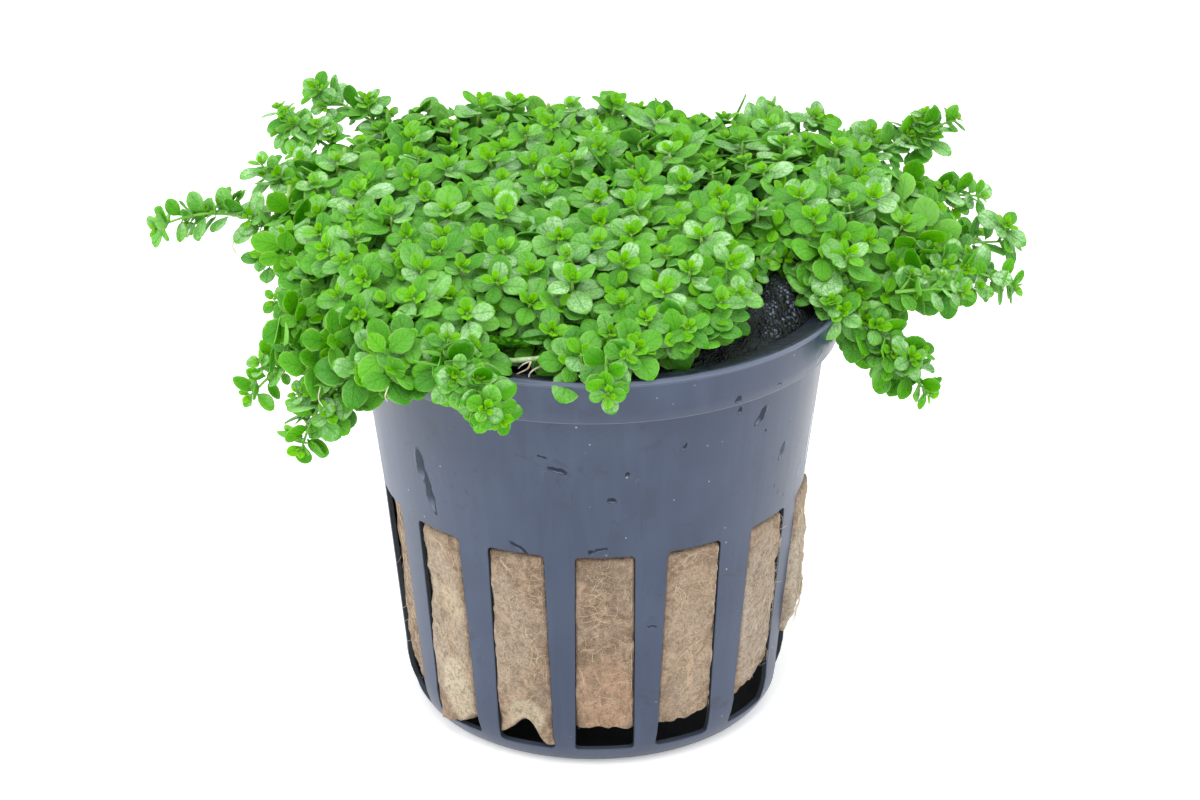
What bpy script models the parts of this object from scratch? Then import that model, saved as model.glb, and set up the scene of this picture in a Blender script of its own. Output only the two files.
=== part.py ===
"""Potted dwarf baby tears: a slotted net pot with its rockwool, wet growing medium, leaf mat and loose sprigs.

Metres, +Z up. The origin is the middle of the pot's flat base, and the front of the plant faces -Y.
"""
import math
import random

import bmesh
import bpy
from mathutils import Matrix, Vector, noise

MM = 0.001

# Net pot: radii are from its axis and heights from its base
RIM_RADIUS = 25.0 * MM
POT_HEIGHT = 44.3 * MM
LIP_HEIGHT = 0.5 * MM
COLLAR_HEIGHT = 4.7 * MM
COLLAR_RADIUS = 24.1 * MM
SHOULDER_RADIUS = 22.95 * MM
SLOT_TOP = 24.3 * MM
SLOT_TOP_RADIUS = 21.0 * MM
CORNER_TOP = 6.5 * MM
CORNER_RADIUS = 19.2 * MM
BASE_RADIUS = 15.8 * MM
WALL = 1.0 * MM
POT_SEGMENTS = 42

# Slots round the wall and drain holes in the base
SLOT_COUNT = 14
SLOT_WIDTH = 5.5 * MM
SLOT_BOTTOM = 2.5 * MM
SLOT_CORNER = 0.9 * MM
SLOT_PHASE = math.radians(-87.2)
DRAIN_COUNT = 5
DRAIN_RADIUS = 1.6 * MM
DRAIN_CIRCLE = 9.5 * MM

# Rockwool and growing medium
GAP = 0.3 * MM
WOOL_BOTTOM = 5.0 * MM
WOOL_TOP = 36.0 * MM
WOOL_IN_SLOT = 0.9 * MM
MEDIUM_TOP = 43.4 * MM
MEDIUM_LUMP = 0.9 * MM

# Leaf mat: its outline radius and how far its edge hangs below the rim, every 15 degrees from +X anticlockwise
MAT_RADII = [34.5, 35.5, 35.5, 34.5, 33.5, 32.5, 32.5, 32.5, 32.5, 33.0, 33.5, 33.5,
             33.0, 32.5, 32.0, 30.5, 29.0, 27.0, 25.8, 24.5, 22.5, 19.5, 19.0, 26.0]
MAT_DROOPS = [1.0, 0.0, -0.5, -0.5, 0.5, 1.5, 1.5, 0.5, -0.5, -0.5, 0.0, 1.0,
              2.5, 5.0, 6.0, 4.0, 1.5, 0.0, -0.5, -1.0, -1.0, -1.0, -1.0, 2.0]
MAT_THICKNESS = 9.0 * MM
MAT_FRONT_THICKNESS = 4.6 * MM
MAT_BACK_RISE = 0.5 * MM
MAT_CLEARANCE = 0.4 * MM
MAT_LUMP = 0.5 * MM
MAT_LUMP_SIZE = 2.6 * MM
MAT_EDGE_LEAVES = 26
MAT_TOP_LEAVES = 20
MAT_SUBDIVISIONS = 4

# Leaves and stems
LEAF_LENGTH = 3.6 * MM
LEAF_WIDTH = 3.0 * MM
LEAF_THICKNESS = 0.7 * MM
LEAF_SIDES = 6
LEAF_ROOTING = -0.1 * MM
STEM_RADIUS = 0.4 * MM
INTERNODE = 2.8 * MM
TIP_LEAF_SCALE = 0.6

# Each loose sprig: the route of its stem in millimetres, from inside the mat to its tip
SPRIGS = {
    "sprig_left_high": [(-20, 25, 51), (-24.5, 27, 53.8), (-28.0, 29, 55.6)],
    "sprig_left_top": [(-27, 20, 49), (-30.5, 22.5, 51.2), (-33.5, 24.5, 52.0)],
    "sprig_left_upper": [(-30, 13, 48), (-33, 14.5, 49.2), (-35.5, 16, 49.4)],
    "sprig_left_long": [(-30, 8, 46), (-35.5, 8.5, 46.8), (-40, 8, 47.0), (-44.0, 7.5, 45.6)],
    "sprig_left_small": [(-30, 0.6, 43.0), (-33.2, 0.2, 42.6), (-35.6, 0, 41.8)],
    "sprig_left_low": [(-27, -7, 42), (-30.5, -8.5, 39.2), (-34.8, -10, 36.4)],
    "sprig_left_hanging": [(-23.5, -17, 41), (-26.5, -18, 37.2), (-28.2, -17.5, 33.2)],
    "sprig_front_over": [(-14.5, -24, 46.0), (-11.5, -29, 44.4), (-8.8, -30.4, 41.2)],
    "sprig_front_small": [(1.2, -24.5, 46.0), (1.2, -27.6, 44.9), (1.2, -28.8, 42.4)],
    "sprig_right_hanging": [(24.5, -7, 43), (28.6, -8, 39.2), (32.0, -8.5, 34.8)],
    "sprig_right_low": [(30, -2, 44), (36, -2.5, 44.2), (41.4, -2.5, 44.0)],
    "sprig_right_middle": [(30, 4.5, 46.5), (36, 5, 47.4), (41.6, 4.5, 47.6)],
    "sprig_right_upper": [(30, 12, 48), (35.5, 12.5, 49.2), (40.4, 12.5, 49.6)],
    "sprig_right_top": [(27, 20, 50), (33.5, 22.5, 51.6), (39.0, 24, 52.8)],
    "sprig_right_small": [(30.0, -8.0, 45.0), (34.8, -9.2, 44.9), (38.4, -9.8, 44.0)],
    "sprig_back_left": [(-17, 27, 46), (-21, 33.5, 45.6), (-23.5, 39.0, 43.4)],
    "sprig_back_middle": [(-2, 28, 47), (-2.6, 35, 46.0), (-3.5, 39.6, 41.6)],
    "sprig_back_right": [(15, 28, 47), (18, 34.5, 47.6), (20.0, 40.4, 46.8)],
    "sprig_top_middle": [(2.2, 26.0, 52.0), (2.4, 27.0, 54.2), (2.5, 27.6, 55.8)],
    "sprig_top_right": [(23, 24, 49.5), (24.2, 25.8, 52.2), (24.8, 26.6, 54.2)],
}

SEED = 22
SLIVER = 0.004 * MM

# Finish of each piece: colour, roughness
POT_PLASTIC = ((0.035, 0.045, 0.062), 0.32)
WOOL_FIBRE = ((0.50, 0.38, 0.25), 0.95)
WET_MEDIUM = ((0.012, 0.014, 0.016), 0.25)
LEAF_GREEN = ((0.13, 0.42, 0.035), 0.42)


def clear_scene():
    for item in list(bpy.data.objects):
        bpy.data.objects.remove(item, do_unlink=True)


def new_collection(name):
    collection = bpy.data.collections.new(name)
    bpy.context.scene.collection.children.link(collection)
    return collection


def finish(name, look):
    colour, roughness = look
    material = bpy.data.materials.new(name)
    material.use_nodes = True
    shader = material.node_tree.nodes["Principled BSDF"]
    shader.inputs["Base Color"].default_value = (*colour, 1)
    shader.inputs["Roughness"].default_value = roughness
    shader.inputs["Metallic"].default_value = 0.0
    return material


def object_from(bm, name, collection):
    mesh = bpy.data.meshes.new(name)
    bm.to_mesh(mesh)
    bm.free()
    made = bpy.data.objects.new(name, mesh)
    collection.objects.link(made)
    return made


def as_cutter(item):
    item.hide_render = True
    item.display_type = "WIRE"
    return item


def boolean(target, tool, operation, self_crossing=False):
    modifier = target.modifiers.new(operation.title(), "BOOLEAN")
    modifier.operation = operation
    modifier.solver = "EXACT"
    modifier.use_self = self_crossing
    modifier.object = tool


def evaluated_bmesh(item):
    """The item's finished shape, with its modifiers, as a bmesh."""
    bpy.context.view_layer.update()
    graph = bpy.context.evaluated_depsgraph_get()
    mesh = bpy.data.meshes.new_from_object(item.evaluated_get(graph))
    mesh.transform(item.matrix_world)
    bm = bmesh.new()
    bm.from_mesh(mesh)
    bpy.data.meshes.remove(mesh)
    return bm


def keep_largest_body(bm):
    """Leave only the body with the most faces: a trimmed sprig can lose the end of a leaf."""
    unseen = set(bm.verts)
    bodies = []
    while unseen:
        stack = [unseen.pop()]
        body = []
        while stack:
            vertex = stack.pop()
            body.append(vertex)
            for edge in vertex.link_edges:
                other = edge.other_vert(vertex)
                if other in unseen:
                    unseen.remove(other)
                    stack.append(other)
        bodies.append(body)
    largest = max(bodies, key=len)
    for body in bodies:
        if body is not largest:
            bmesh.ops.delete(bm, geom=body, context="VERTS")


def without_slivers(bm):
    """The shape without its thinnest faces, as long as it stays closed without them."""
    trial = bm.copy()
    bmesh.ops.dissolve_degenerate(trial, edges=trial.edges, dist=SLIVER)
    closed = all(len(edge.link_faces) == 2 for edge in trial.edges)
    spare = bm if closed else trial
    kept = trial if closed else bm
    spare.free()
    return kept


def turned(name, profile, segments, collection):
    """A solid of revolution about Z. Its profile runs from the axis to the axis, outer side downwards."""
    mesh = bpy.data.meshes.new(name)
    points = [(radius, 0, height) for radius, height in profile]
    edges = [(i, i + 1) for i in range(len(points) - 1)]
    mesh.from_pydata(points, edges, [])
    made = bpy.data.objects.new(name, mesh)
    collection.objects.link(made)
    screw = made.modifiers.new("Turn", "SCREW")
    screw.axis = "Z"
    screw.angle = 2 * math.pi
    screw.steps = segments
    screw.render_steps = segments
    screw.use_merge_vertices = True
    screw.merge_threshold = 0.00001
    return made


def wall_radius(height):
    """Outer radius of the pot's wall between its rounded corner and its shoulder."""
    shoulder_height = POT_HEIGHT - COLLAR_HEIGHT
    if height >= SLOT_TOP:
        along = (height - SLOT_TOP) / (shoulder_height - SLOT_TOP)
        return SLOT_TOP_RADIUS + (SHOULDER_RADIUS - SLOT_TOP_RADIUS) * along
    along = (height - CORNER_TOP) / (SLOT_TOP - CORNER_TOP)
    return CORNER_RADIUS + (SLOT_TOP_RADIUS - CORNER_RADIUS) * along


def slot_angle(index):
    return SLOT_PHASE + index * 2 * math.pi / SLOT_COUNT


def pot_profile():
    shoulder_height = POT_HEIGHT - COLLAR_HEIGHT
    corner_steps = (58, 28)
    outer = [
        (RIM_RADIUS - 1.1 * MM, POT_HEIGHT),
        (RIM_RADIUS, POT_HEIGHT),
        (RIM_RADIUS, POT_HEIGHT - LIP_HEIGHT),
        (COLLAR_RADIUS, shoulder_height),
        (SHOULDER_RADIUS, shoulder_height - 0.1 * MM),
        (SLOT_TOP_RADIUS, SLOT_TOP),
        (CORNER_RADIUS, CORNER_TOP),
    ]
    inner = [(0, WALL), (BASE_RADIUS - 0.6 * MM, WALL)]
    for degrees in corner_steps:
        turn = math.radians(degrees)
        rise = 1 - math.cos(turn)
        reach = math.sin(turn)
        outer.append((BASE_RADIUS + (CORNER_RADIUS - BASE_RADIUS) * reach, CORNER_TOP * rise))
    outer += [(BASE_RADIUS, 0), (0, 0)]
    for degrees in reversed(corner_steps):
        turn = math.radians(degrees)
        radius = BASE_RADIUS + (CORNER_RADIUS - BASE_RADIUS) * math.sin(turn) - 0.85 * WALL
        inner.append((radius, WALL + (CORNER_TOP - WALL) * (1 - math.cos(turn))))
    inner += [
        (CORNER_RADIUS - WALL, CORNER_TOP),
        (SLOT_TOP_RADIUS - WALL, SLOT_TOP),
        (SHOULDER_RADIUS - WALL, shoulder_height - WALL),
        (COLLAR_RADIUS - WALL, shoulder_height + 0.3 * MM),
    ]
    return inner + outer


def slot_cutters(collection):
    """Round-cornered bars, one through each slot of the wall."""
    bm = bmesh.new()
    depth_in = BASE_RADIUS - 2.0 * MM
    depth_out = RIM_RADIUS + 2.0 * MM
    size = Vector((depth_out - depth_in, SLOT_WIDTH, SLOT_TOP - SLOT_BOTTOM))
    middle = Vector(((depth_in + depth_out) / 2, 0, (SLOT_TOP + SLOT_BOTTOM) / 2))
    for index in range(SLOT_COUNT):
        bar = bmesh.ops.create_cube(bm, size=1.0)["verts"]
        bmesh.ops.scale(bm, vec=size, verts=bar)
        corners = [
            edge
            for edge in {e for v in bar for e in v.link_edges}
            if abs(edge.verts[0].co.x - edge.verts[1].co.x) > size.x / 2
        ]
        rounded = bmesh.ops.bevel(
            bm, geom=corners, offset=SLOT_CORNER, segments=1, profile=0.5, affect="EDGES", material=-1
        )
        whole = {v for v in bar if v.is_valid} | set(rounded["verts"])
        bmesh.ops.translate(bm, vec=middle, verts=list(whole))
        turn = Matrix.Rotation(slot_angle(index), 3, "Z")
        bmesh.ops.rotate(bm, cent=(0, 0, 0), matrix=turn, verts=list(whole))
    return as_cutter(object_from(bm, "slot_cutters", collection))


def drain_cutters(collection):
    bm = bmesh.new()
    for index in range(DRAIN_COUNT):
        angle = index * 2 * math.pi / DRAIN_COUNT
        place = Matrix.Translation((DRAIN_CIRCLE * math.cos(angle), DRAIN_CIRCLE * math.sin(angle), 0))
        bmesh.ops.create_cone(
            bm,
            cap_ends=True,
            segments=8,
            radius1=DRAIN_RADIUS,
            radius2=DRAIN_RADIUS,
            depth=4 * WALL,
            matrix=place,
        )
    return as_cutter(object_from(bm, "drain_cutters", collection))


def make_pot(parts, cutters):
    pot = turned("net_pot", pot_profile(), POT_SEGMENTS, parts)
    boolean(pot, slot_cutters(cutters), "DIFFERENCE")
    boolean(pot, drain_cutters(cutters), "DIFFERENCE")
    pot.data.materials.append(finish("pot_plastic", POT_PLASTIC))
    return pot


def make_wool(parts, cutters):
    """The plug, with a pad that swells out into each slot."""
    inner = WALL + GAP
    profile = [
        (0, WOOL_TOP),
        (wall_radius(WOOL_TOP) - inner, WOOL_TOP),
        (wall_radius(SLOT_TOP) - inner, SLOT_TOP),
        (CORNER_RADIUS - inner - 0.2 * MM, CORNER_TOP),
        (CORNER_RADIUS - inner - 1.2 * MM, WOOL_BOTTOM),
        (0, WOOL_BOTTOM),
    ]
    wool = turned("rockwool", profile, 2 * SLOT_COUNT, parts)
    bm = bmesh.new()
    low = WOOL_BOTTOM + 0.4 * MM
    high = SLOT_TOP - SLOT_CORNER
    half_width = SLOT_WIDTH / 2 - GAP
    for index in range(SLOT_COUNT):
        pad = bmesh.ops.create_cube(bm, size=1.0)["verts"]
        for corner in pad:
            height = high if corner.co.z > 0 else low
            outside = wall_radius(height) - WALL + WOOL_IN_SLOT
            radius = outside if corner.co.x > 0 else CORNER_RADIUS - 5.0 * MM
            corner.co = (radius, math.copysign(half_width, corner.co.y), height)
        turn = Matrix.Rotation(slot_angle(index), 3, "Z")
        bmesh.ops.rotate(bm, cent=(0, 0, 0), matrix=turn, verts=pad)
    bmesh.ops.recalc_face_normals(bm, faces=bm.faces)
    pads = as_cutter(object_from(bm, "slot_pads", cutters))
    boolean(wool, pads, "UNION")
    wool.data.materials.append(finish("rockwool_fibre", WOOL_FIBRE))
    return wool


def make_medium(parts):
    """The wet top inside the rim: a shallow disc with a lumpy upper face."""
    shoulder_height = POT_HEIGHT - COLLAR_HEIGHT
    low_radius = wall_radius(WOOL_TOP) - WALL - GAP
    high_radius = COLLAR_RADIUS - WALL - GAP
    profile = [(0, MEDIUM_TOP)]
    rings = 4
    for ring in range(1, rings + 1):
        profile.append((high_radius * ring / rings, MEDIUM_TOP))
    profile += [
        (high_radius - 0.1 * MM, shoulder_height + 0.8 * MM),
        (low_radius, shoulder_height - WALL - 0.3 * MM),
        (low_radius, WOOL_TOP + GAP),
        (0, WOOL_TOP + GAP),
    ]
    blank = turned("growing_medium_blank", profile, 24, parts)
    bm = evaluated_bmesh(blank)
    bpy.data.objects.remove(blank)
    for vertex in bm.verts:
        if vertex.co.z > MEDIUM_TOP - 0.1 * MM:
            lump = noise.noise(vertex.co / (4.0 * MM))
            vertex.co.z += MEDIUM_LUMP * (lump - 0.35)
    medium = object_from(bm, "growing_medium", parts)
    medium.data.materials.append(finish("wet_medium", WET_MEDIUM))
    return medium


def round_the_mat(values, angle):
    """A smooth value at an angle from a list of evenly spaced ones."""
    place = (angle / (2 * math.pi)) % 1.0 * len(values)
    index = int(place)
    along = place - index
    before, here, after, beyond = (values[(index + k) % len(values)] for k in (-1, 0, 1, 2))
    bend = after - before + along * (
        2 * before - 5 * here + 4 * after - beyond + along * (3 * (here - after) + beyond - before)
    )
    return (here + 0.5 * along * bend) * MM


def mat_point(angle, polar):
    """The mat's skin: polar runs from 0 at the middle of its top to pi under it."""
    outline = round_the_mat(MAT_RADII, angle)
    droop = round_the_mat(MAT_DROOPS, angle)
    radius = outline * math.sin(polar) ** 0.75
    front = max(0.0, -math.sin(angle)) * min(1.0, radius / (22 * MM))
    thickness = MAT_THICKNESS + (MAT_FRONT_THICKNESS - MAT_THICKNESS) * front**2
    thickness += MAT_BACK_RISE * max(0.0, math.sin(angle)) * radius / outline
    middle = POT_HEIGHT + MAT_CLEARANCE + thickness / 2
    beyond_rim = max(0.0, radius - RIM_RADIUS) / max(outline - RIM_RADIUS, 3 * MM)
    middle -= (droop + 1.5 * MM) * beyond_rim**1.3
    side = math.cos(polar)
    height = middle + math.copysign(thickness / 2 * abs(side) ** 0.55, side)
    return Vector((radius * math.cos(angle), radius * math.sin(angle), height))


def mat_lump(point):
    """How far a tuft of leaves swells out of the mat at a point, from -1 to 1."""
    return 1.6 * noise.cell(point / MAT_LUMP_SIZE) - 0.8 + noise.noise(point / (2 * MAT_LUMP_SIZE))


def add_leaf(bm, base, direction, face_up, scale):
    """One leaf as a flat many-sided lens that starts at base and points along direction."""
    along = direction.normalized()
    across = face_up.cross(along).normalized()
    top = along.cross(across)
    length = LEAF_LENGTH * scale
    frame = Matrix((along, across, top)).transposed().to_4x4()
    size = Matrix.Diagonal((length / 2, LEAF_WIDTH * scale / 2, LEAF_THICKNESS / 2, 1))
    place = Matrix.Translation(base + along * (length / 2 - LEAF_ROOTING))
    bmesh.ops.create_uvsphere(
        bm, u_segments=LEAF_SIDES, v_segments=2, radius=1.0, matrix=place @ frame @ size
    )


def mat_leaves(cutters):
    """Leaves that stand out of the mat, round its edge and over its top."""
    pick = random.Random(SEED)
    bm = bmesh.new()
    total = MAT_EDGE_LEAVES + MAT_TOP_LEAVES
    for index in range(total):
        if index < MAT_EDGE_LEAVES:
            angle = 2 * math.pi * (index + pick.uniform(-0.3, 0.3)) / MAT_EDGE_LEAVES
            polar = math.radians(pick.uniform(66, 96))
        else:
            angle = 2.4 * index
            spread = (index - MAT_EDGE_LEAVES + 0.5) / MAT_TOP_LEAVES
            polar = math.asin((0.92 * math.sqrt(spread)) ** (1 / 0.75))
        skin = mat_point(angle, polar)
        outward = Vector((math.cos(angle), math.sin(angle), 0))
        tilt = math.sin(polar) ** 2
        rise = 1.1 - tilt
        lean = Matrix.Rotation(pick.uniform(-1.2, 1.2), 3, "Z") @ outward
        direction = lean + Vector((0, 0, rise * pick.uniform(0.4, 0.9)))
        face_up = Vector((0, 0, 1)) + outward * 0.5 * tilt
        base = skin - direction.normalized() * 1.3 * MM
        add_leaf(bm, base, direction, face_up, pick.uniform(0.95, 1.15))
    return as_cutter(object_from(bm, "mat_leaves", cutters))


def make_mat(parts, cutters):
    bm = bmesh.new()
    bmesh.ops.create_icosphere(bm, subdivisions=MAT_SUBDIVISIONS, radius=1.0)
    for vertex in bm.verts:
        angle = math.atan2(vertex.co.y, vertex.co.x)
        polar = math.acos(max(-1.0, min(1.0, vertex.co.z)))
        point = mat_point(angle, polar)
        lump = MAT_LUMP * mat_lump(point)
        outward = Vector((math.cos(angle), math.sin(angle), 0))
        upward = max(0.0, math.cos(polar))
        side = math.sin(polar) ** 6
        vertex.co = point + lump * (outward * side + Vector((0, 0, 1)) * upward**0.3)
    mound = as_cutter(object_from(bm, "mat_mound", cutters))
    boolean(mound, mat_leaves(cutters), "UNION", self_crossing=True)
    bm = evaluated_bmesh(mound)
    keep_largest_body(bm)
    mat = object_from(bm, "leaf_mat", parts)
    mat.data.materials.append(finish("leaf_green", LEAF_GREEN))
    return mat


def grown(item, distance, collection):
    """A wire copy of an item's finished shape, a little larger all round, to cut room for it."""
    bm = evaluated_bmesh(item)
    bm.normal_update()
    moves = [(vertex, vertex.normal * distance) for vertex in bm.verts]
    for vertex, move in moves:
        vertex.co += move
    return as_cutter(object_from(bm, item.name + "_room", collection))


def smooth_route(route, count):
    """Evenly numbered points on a smooth curve through the route's own points."""
    points = [Vector(p) * MM for p in route]
    padded = [2 * points[0] - points[1], *points, 2 * points[-1] - points[-2]]
    spans = len(points) - 1
    line = []
    for step in range(count):
        place = step / (count - 1) * spans
        index = min(int(place), spans - 1)
        along = place - index
        before, here, after, beyond = padded[index:index + 4]
        bend = after - before + along * (
            2 * before - 5 * here + 4 * after - beyond + along * (3 * (here - after) + beyond - before)
        )
        line.append(here + 0.5 * along * bend)
    return line


def make_stem(name, line, collection):
    curve = bpy.data.curves.new(name, "CURVE")
    curve.dimensions = "3D"
    curve.bevel_depth = STEM_RADIUS
    curve.bevel_resolution = 0
    curve.use_fill_caps = True
    spline = curve.splines.new("POLY")
    spline.points.add(len(line) - 1)
    for spot, point in zip(spline.points, line):
        spot.co = (*point, 1)
    guide = bpy.data.objects.new(name + "_guide", curve)
    collection.objects.link(guide)
    bm = evaluated_bmesh(guide)
    bpy.data.objects.remove(guide)
    bmesh.ops.remove_doubles(bm, verts=bm.verts, dist=0.00001)
    return object_from(bm, name, collection)


def sprig_leaves(name, line, collection):
    """Crossed pairs of leaves along a stem, smaller towards its tip."""
    length = sum((b - a).length for a, b in zip(line, line[1:]))
    nodes = max(3, round(length / INTERNODE))
    bm = bmesh.new()
    for node in range(nodes):
        along = (node + 1.0) / (nodes + 0.15)
        place = min(along, 1.0) * (len(line) - 1)
        index = min(int(place), len(line) - 2)
        spot = line[index].lerp(line[index + 1], place - index)
        tangent = (line[index + 1] - line[index]).normalized()
        level = tangent.cross(Vector((0, 0, 1))).normalized()
        if node % 2:
            level = Matrix.Rotation(math.radians(90), 3, tangent) @ level
        scale = 1.1 + (TIP_LEAF_SCALE - 1.1) * along**2
        for side in (-1, 1):
            direction = level * side + tangent * 0.55 + Vector((0, 0, 0.25))
            face_up = tangent * 0.6 + Vector((0, 0, 0.8))
            add_leaf(bm, spot, direction, face_up, scale)
    return as_cutter(object_from(bm, name + "_leaves", collection))


def make_sprig(name, route, room, material, parts, cutters):
    line = smooth_route(route, 4)
    stem = make_stem(name + "_stem", line, cutters)
    boolean(stem, sprig_leaves(name, line, cutters), "UNION", self_crossing=True)
    boolean(stem, room, "DIFFERENCE")
    bm = evaluated_bmesh(stem)
    as_cutter(stem)
    keep_largest_body(bm)
    sprig = object_from(without_slivers(bm), name, parts)
    sprig.data.materials.append(material)
    return sprig


def build():
    clear_scene()
    parts = new_collection("potted_dwarf_baby_tears")
    cutters = new_collection("cutters_and_guides")
    make_pot(parts, cutters)
    make_wool(parts, cutters)
    make_medium(parts)
    mat = make_mat(parts, cutters)
    room = grown(mat, GAP, cutters)
    for name, route in SPRIGS.items():
        make_sprig(name, route, room, mat.data.materials[0], parts, cutters)


build()
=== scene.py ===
import math
import random

import bmesh
import bpy
import numpy as np
from mathutils import Matrix, Vector, noise


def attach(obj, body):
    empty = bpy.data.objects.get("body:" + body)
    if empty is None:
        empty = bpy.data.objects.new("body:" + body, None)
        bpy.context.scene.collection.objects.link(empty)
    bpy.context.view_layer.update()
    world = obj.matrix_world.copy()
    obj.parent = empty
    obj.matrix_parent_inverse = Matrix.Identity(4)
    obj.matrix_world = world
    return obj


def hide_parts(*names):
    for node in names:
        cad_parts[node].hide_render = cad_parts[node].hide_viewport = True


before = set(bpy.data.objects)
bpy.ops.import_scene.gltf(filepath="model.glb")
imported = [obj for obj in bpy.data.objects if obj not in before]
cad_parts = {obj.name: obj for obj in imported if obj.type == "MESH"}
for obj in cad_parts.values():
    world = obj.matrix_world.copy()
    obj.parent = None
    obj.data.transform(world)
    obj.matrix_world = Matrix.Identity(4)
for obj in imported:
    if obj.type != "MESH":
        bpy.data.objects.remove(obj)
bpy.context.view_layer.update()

MM = 0.001


# The net pot is one thin moulding of black polypropylene: a lip with a wet ledge inside it, a
# collar, a tapering wall with fourteen slots, and a rounded foot with five drain holes. Its skin
# is spun from its profile, its columns are slid to the slots' edges, and it gets its thickness.

POT_HEIGHT, RIM_RADIUS = 44.3, 25.0
COLLAR_FOOT = 39.6
FOOT_RADIUS, FOOT_ROUND = 15.8, 6.5
WALL = 0.55
WALL_RADIUS = 22.0
SLOTS = 14
SLOT_TURN = 2 * math.pi / SLOTS
SLOT_PHASE = math.radians(-87.2)
# how far each slot strays from its even place, in degrees, from the front slot on
slot_strays = (0.0, -1.0, 0.2, 0.0, 0.0, 0.0, 0.0, 0.0, 0.0, 0.0, 0.0, 2.2, 2.1, 1.6)
SLOT_HALF = 2.88
SLOT_FOOT, SLOT_HEAD = 2.1, 24.3
SLOT_CORNER = 0.45
DRAINS, DRAIN_RADIUS, DRAIN_CIRCLE = 5, 1.6, 9.5


def skin_radius(height):
    """The pot's outer radius, in millimetres, from its foot to the underside of its collar."""
    if height < FOOT_ROUND:
        return FOOT_RADIUS + 3.4 * math.sqrt(1 - (1 - height / FOOT_ROUND) ** 2)
    if height < SLOT_HEAD:
        return 19.2 + 1.8 * (height - FOOT_ROUND) / (SLOT_HEAD - FOOT_ROUND)
    return 21.0 + 1.95 * (height - SLOT_HEAD) / (COLLAR_FOOT - SLOT_HEAD)


def at_angle(radius, angle, height):
    """The point at a radius and an angle round the pot's axis, and at a height."""
    return Vector((radius * math.cos(angle), radius * math.sin(angle), height))


def spun(profile, steps):
    """The skin that a line of (radius, height) points sweeps out round the upright axis."""
    bm = bmesh.new()
    line = [bm.verts.new((radius, 0, height)) for radius, height in profile]
    for here, after in zip(line, line[1:]):
        bm.edges.new((here, after))
    bmesh.ops.spin(
        bm, geom=bm.verts[:] + bm.edges[:], axis=(0, 0, 1), angle=2 * math.pi, steps=steps, use_merge=True
    )
    bmesh.ops.remove_doubles(bm, verts=bm.verts, dist=0.001)
    bmesh.ops.recalc_face_normals(bm, faces=bm.faces)
    return bm


def slot_middle(slot):
    """The angle of a slot's middle."""
    return SLOT_PHASE + slot * SLOT_TURN + math.radians(slot_strays[slot % SLOTS])


def slide_columns(bm, stations, bar_columns):
    """Turns a spun skin's columns so that some run straight up the edges of every slot."""
    in_sector = len(stations) - 1 + bar_columns
    columns = SLOTS * in_sector
    for vertex in bm.verts:
        radius = math.hypot(vertex.co.x, vertex.co.y)
        column = round(math.atan2(vertex.co.y, vertex.co.x) / (2 * math.pi) * columns) % columns
        sector, station = divmod(column, in_sector)
        reach = SLOT_HALF / max(radius, FOOT_RADIUS)
        if station < len(stations):
            angle = slot_middle(sector) + math.asin(stations[station] * reach)
        else:
            edge = math.asin(stations[-1] * reach)
            along = (station - len(stations) + 1) / bar_columns
            angle = slot_middle(sector) + edge
            angle += along * (slot_middle(sector + 1) - slot_middle(sector) - 2 * edge)
        vertex.co = at_angle(radius, angle, vertex.co.z)


def slot_place(x, y):
    """The nearest slot's number, its angle, and how far across that slot a point lies."""
    slot = round((math.atan2(y, x) - SLOT_PHASE) / SLOT_TURN)
    angle = slot_middle(slot)
    return slot % SLOTS, angle, y * math.cos(angle) - x * math.sin(angle)


def added(name, data):
    """A new object in the scene, at the origin."""
    thing = bpy.data.objects.new(name, data)
    bpy.context.scene.collection.objects.link(thing)
    return thing


def finished(bm, name, material):
    """Makes a smooth-shaded piece, in metres, of a bmesh that is drawn in millimetres."""
    bmesh.ops.scale(bm, vec=(MM, MM, MM), verts=bm.verts)
    mesh = bpy.data.meshes.new(name)
    bm.to_mesh(mesh)
    bm.free()
    mesh.shade_smooth()
    mesh.materials.append(material)
    return added(name, mesh)


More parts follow.
